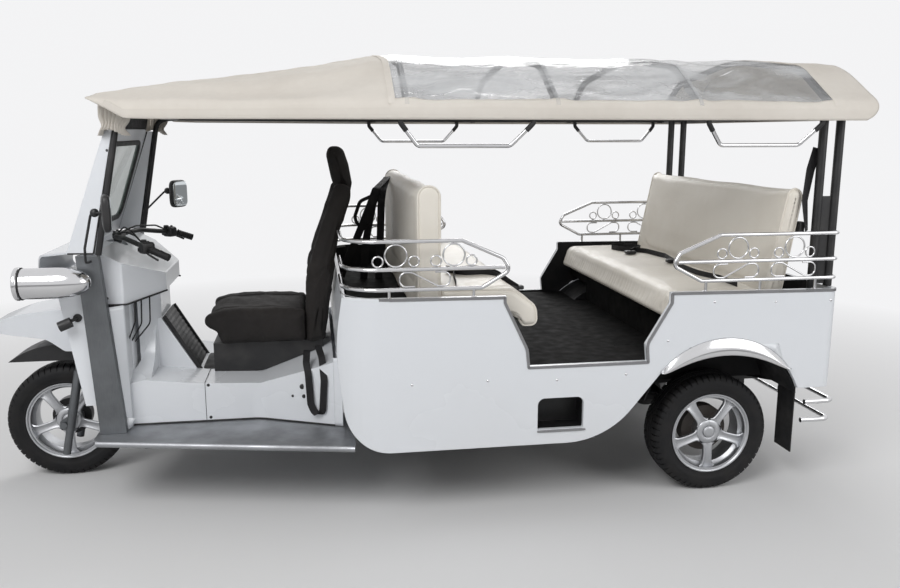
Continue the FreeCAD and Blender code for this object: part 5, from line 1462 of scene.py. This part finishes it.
# %% [markdown]
# White sheet closes the gaps that show from the street: behind each upright, behind the console and
# round the step recess. Flat grids between two edges are enough for it.

# %% White returns behind the uprights
up = np.linspace(338, 872, 30)[:, None]
reach = np.linspace(0, 1, 9)[None, :]
rear_edge = 352 - 60 * (up - 335) / 759
return_x = rear_edge * (1 - reach) + 362 * reach
return_grid = np.stack(np.broadcast_arrays(return_x, -443 + 43 * reach, up), axis=-1)
foot_plate = np.array([[(341, -447, 396), (384, -447, 388)], [(344, -447, 338), (348, -447, 338)]], float)
make("leg_shield_returns", both(sheet(return_grid), sheet(foot_plate)), "white_paint", closed=False,
     wall=0.002)
tail_z = np.linspace(338, 640, 20)[:, None]
tail_grid = np.stack(np.broadcast_arrays(1222 + 36 * reach, -530 - 17 * reach, tail_z), axis=-1)
make("console_tail_plates", both(sheet(tail_grid)), "white_paint", closed=False, wall=0.002)
lip = block((2148, -832, 369), (104, 3, 5), 0.3, 0.3)
make("step_recess_lips", both(lip), "steel_trim", slot="chrome")


# %% [markdown]
# ## Belts
# The passengers' lap belts lie as they were dropped: four hang from the front bench's back, two lie
# across the seats and one hangs by the rear post. Webbing is a flat band that twists on its way.

# %% Webbing
def belt(corners, half_wide, bend, twist=0.0, turn0=0.0, thick=1.1, reference=ALONG_Y):
    """Flat band along a path; its wide side turns by turn0 + twist * (share of the way)."""
    path = resampled(bent(corners, bend), 60, closed=False)
    along, side, up = frames(path, reference)
    angle = (turn0 + twist * np.linspace(0, 1, len(path)))[:, None]
    wide = np.cos(angle) * side + np.sin(angle) * up
    thin = np.cross(along, wide)
    rings = [wide * half_wide * a + thin * thick * b for a, b in ((-1, -1), (1, -1), (1, 1), (-1, 1))]
    grid = path[:, None] + np.stack(rings, axis=1)
    ends = [np.broadcast_to(g.mean(axis=0), g.shape)[None] for g in (grid[0], grid[-1])]
    return sheet(np.concatenate([ends[0], grid, ends[1]]), False, True)


def laid(points, lift):
    """Path points (x, y) put on whatever cushion lies below them, a little above its cover."""
    route = []
    for x, y in points:
        pad = bpy.data.objects["front_bench_seat_pad" if x < 2300 else "rear_bench_seat_pad"]
        hit = pad.ray_cast(Vector(at((x, y, 1300))), Vector((0, 0, -1)))
        route.append((x, y, hit[1].z * 1000 + lift))
    return route


HUNG = ([(1556, 520, 1350), (1516, 330, 1290), (1506, 300, 1240), (1498, 300, 1060), (1484, 300, 800)],
        [(1556, 500, 1350), (1490, 320, 1290), (1462, 300, 1225), (1424, 300, 1040), (1404, 300, 790)],
        [(1556, 480, 1350), (1480, 310, 1300), (1452, 290, 1230), (1376, 290, 1050), (1312, 290, 910),
         (1290, 290, 850)])
CORD = [(1550, 490, 1340), (1470, 300, 1270), (1396, 300, 1238), (1368, 300, 1160), (1392, 300, 1070),
        (1430, 300, 1120)]
THROWN = (([(1728, -690), (1752, -480), (1790, -330), (1890, -300), (1968, -380), (2016, -520)], 3, 0.1),
          ([(1742, -330), (1800, -430), (1900, -410), (1990, -470), (2024, -560)], 9, -0.2),
          ([(2830, 500), (2850, 420), (2960, 330), (2984, 120), (2950, -60)], 3, 0.1),
          ([(2836, 520), (2920, 540), (2990, 440), (2900, 350), (2860, 300)], 9, 0.3),
          ([(2990, -20), (2915, -200), (2925, -400), (2950, -560), (2962, -700)], 3, -0.1))
POST = [(3262, -744, 1520), (3240, -738, 1430), (3222, -742, 1300), (3240, -744, 1170)]
LOOP = [(1112, -380, 640), (1108, -470, 606), (1116, -497, 560), (1122, -503, 430), (1146, -514, 374),
        (1172, -524, 400), (1182, -526, 540), (1176, -480, 626), (1160, -380, 660)]
belts = [belt(line, 19, {"all": 60.0, 1: 20.0}, 0.3, 1.4, reference=ALONG_X) for line in HUNG]
belts.append(belt(CORD, 9, 34.0, 0.6, 1.2, reference=ALONG_X))
for line, lift, twist in THROWN:
    belts.append(belt(laid(line, lift), 22, 60.0, twist, 1.571, reference=ALONG_Z))
belts.append(belt(POST, 22, 60, 0.8))
belts.append(belt(LOOP, 15, 24, 0.0, 1.57, reference=ALONG_X))
make("belts", joined(belts), "webbing", slot="black_fabric", angle=50)

lying = laid([(2020, -540), (2946, -58), (2862, 296)], 12)
hanging = ((1484, 300, 796), (1404, 300, 786), (1290, 290, 846), (3222, -722, 1180))
buckles = [block(place, (30, 20, 9), 0.4, 0.4) for place in lying]
buckles += [block(place, (12, 20, 30), 0.4, 0.4) for place in hanging]
make("belt_buckles", joined(buckles), "black_plastic")

# %% [markdown]
# The tub is painted outside and lined in black inside. Faces that look inwards get the lining as a
# second material.


# %% Everything that is still plain CAD
def lined(thing, inside):
    """Gives the lining to faces whose middle and normal pass the test `inside`."""
    mesh = thing.data
    mesh.materials.append(finishes["lining"].material)
    middle = np.empty(len(mesh.polygons) * 3)
    normal = np.empty(len(mesh.polygons) * 3)
    mesh.polygons.foreach_get("center", middle)
    mesh.polygons.foreach_get("normal", normal)
    chosen = inside(middle.reshape(-1, 3), normal.reshape(-1, 3))
    mesh.polygons.foreach_set("material_index", chosen.astype(np.int32))


def side_inside(middle, normal):
    """Faces of a side panel that look towards the middle line."""
    return normal[:, 1] * np.sign(middle[:, 1]) < -0.3


def end_inside(middle, normal):
    """Faces of an end wall that look into the tub, whose middle is near x = 0.5 m."""
    return normal[:, 0] * np.sign(middle[:, 0] - 0.5) < -0.3


INSIDES = {"side_panel_left": side_inside, "side_panel_right": side_inside, "tub_end_walls": end_inside}
for node in sorted(frame["nodes"]):
    if node not in made_new:
        finish = "lining" if node == "wheel_housings" else None
        piece = dressed(node, finish, 0.0008 if slot_of[node] in ("chrome", "black_plastic") else 0.0015)
        if node in INSIDES:
            lined(piece, INSIDES[node])
print("new surfaces stand for", len(made_new), "of", len(frame["nodes"]), "nodes; the rest are dressed")
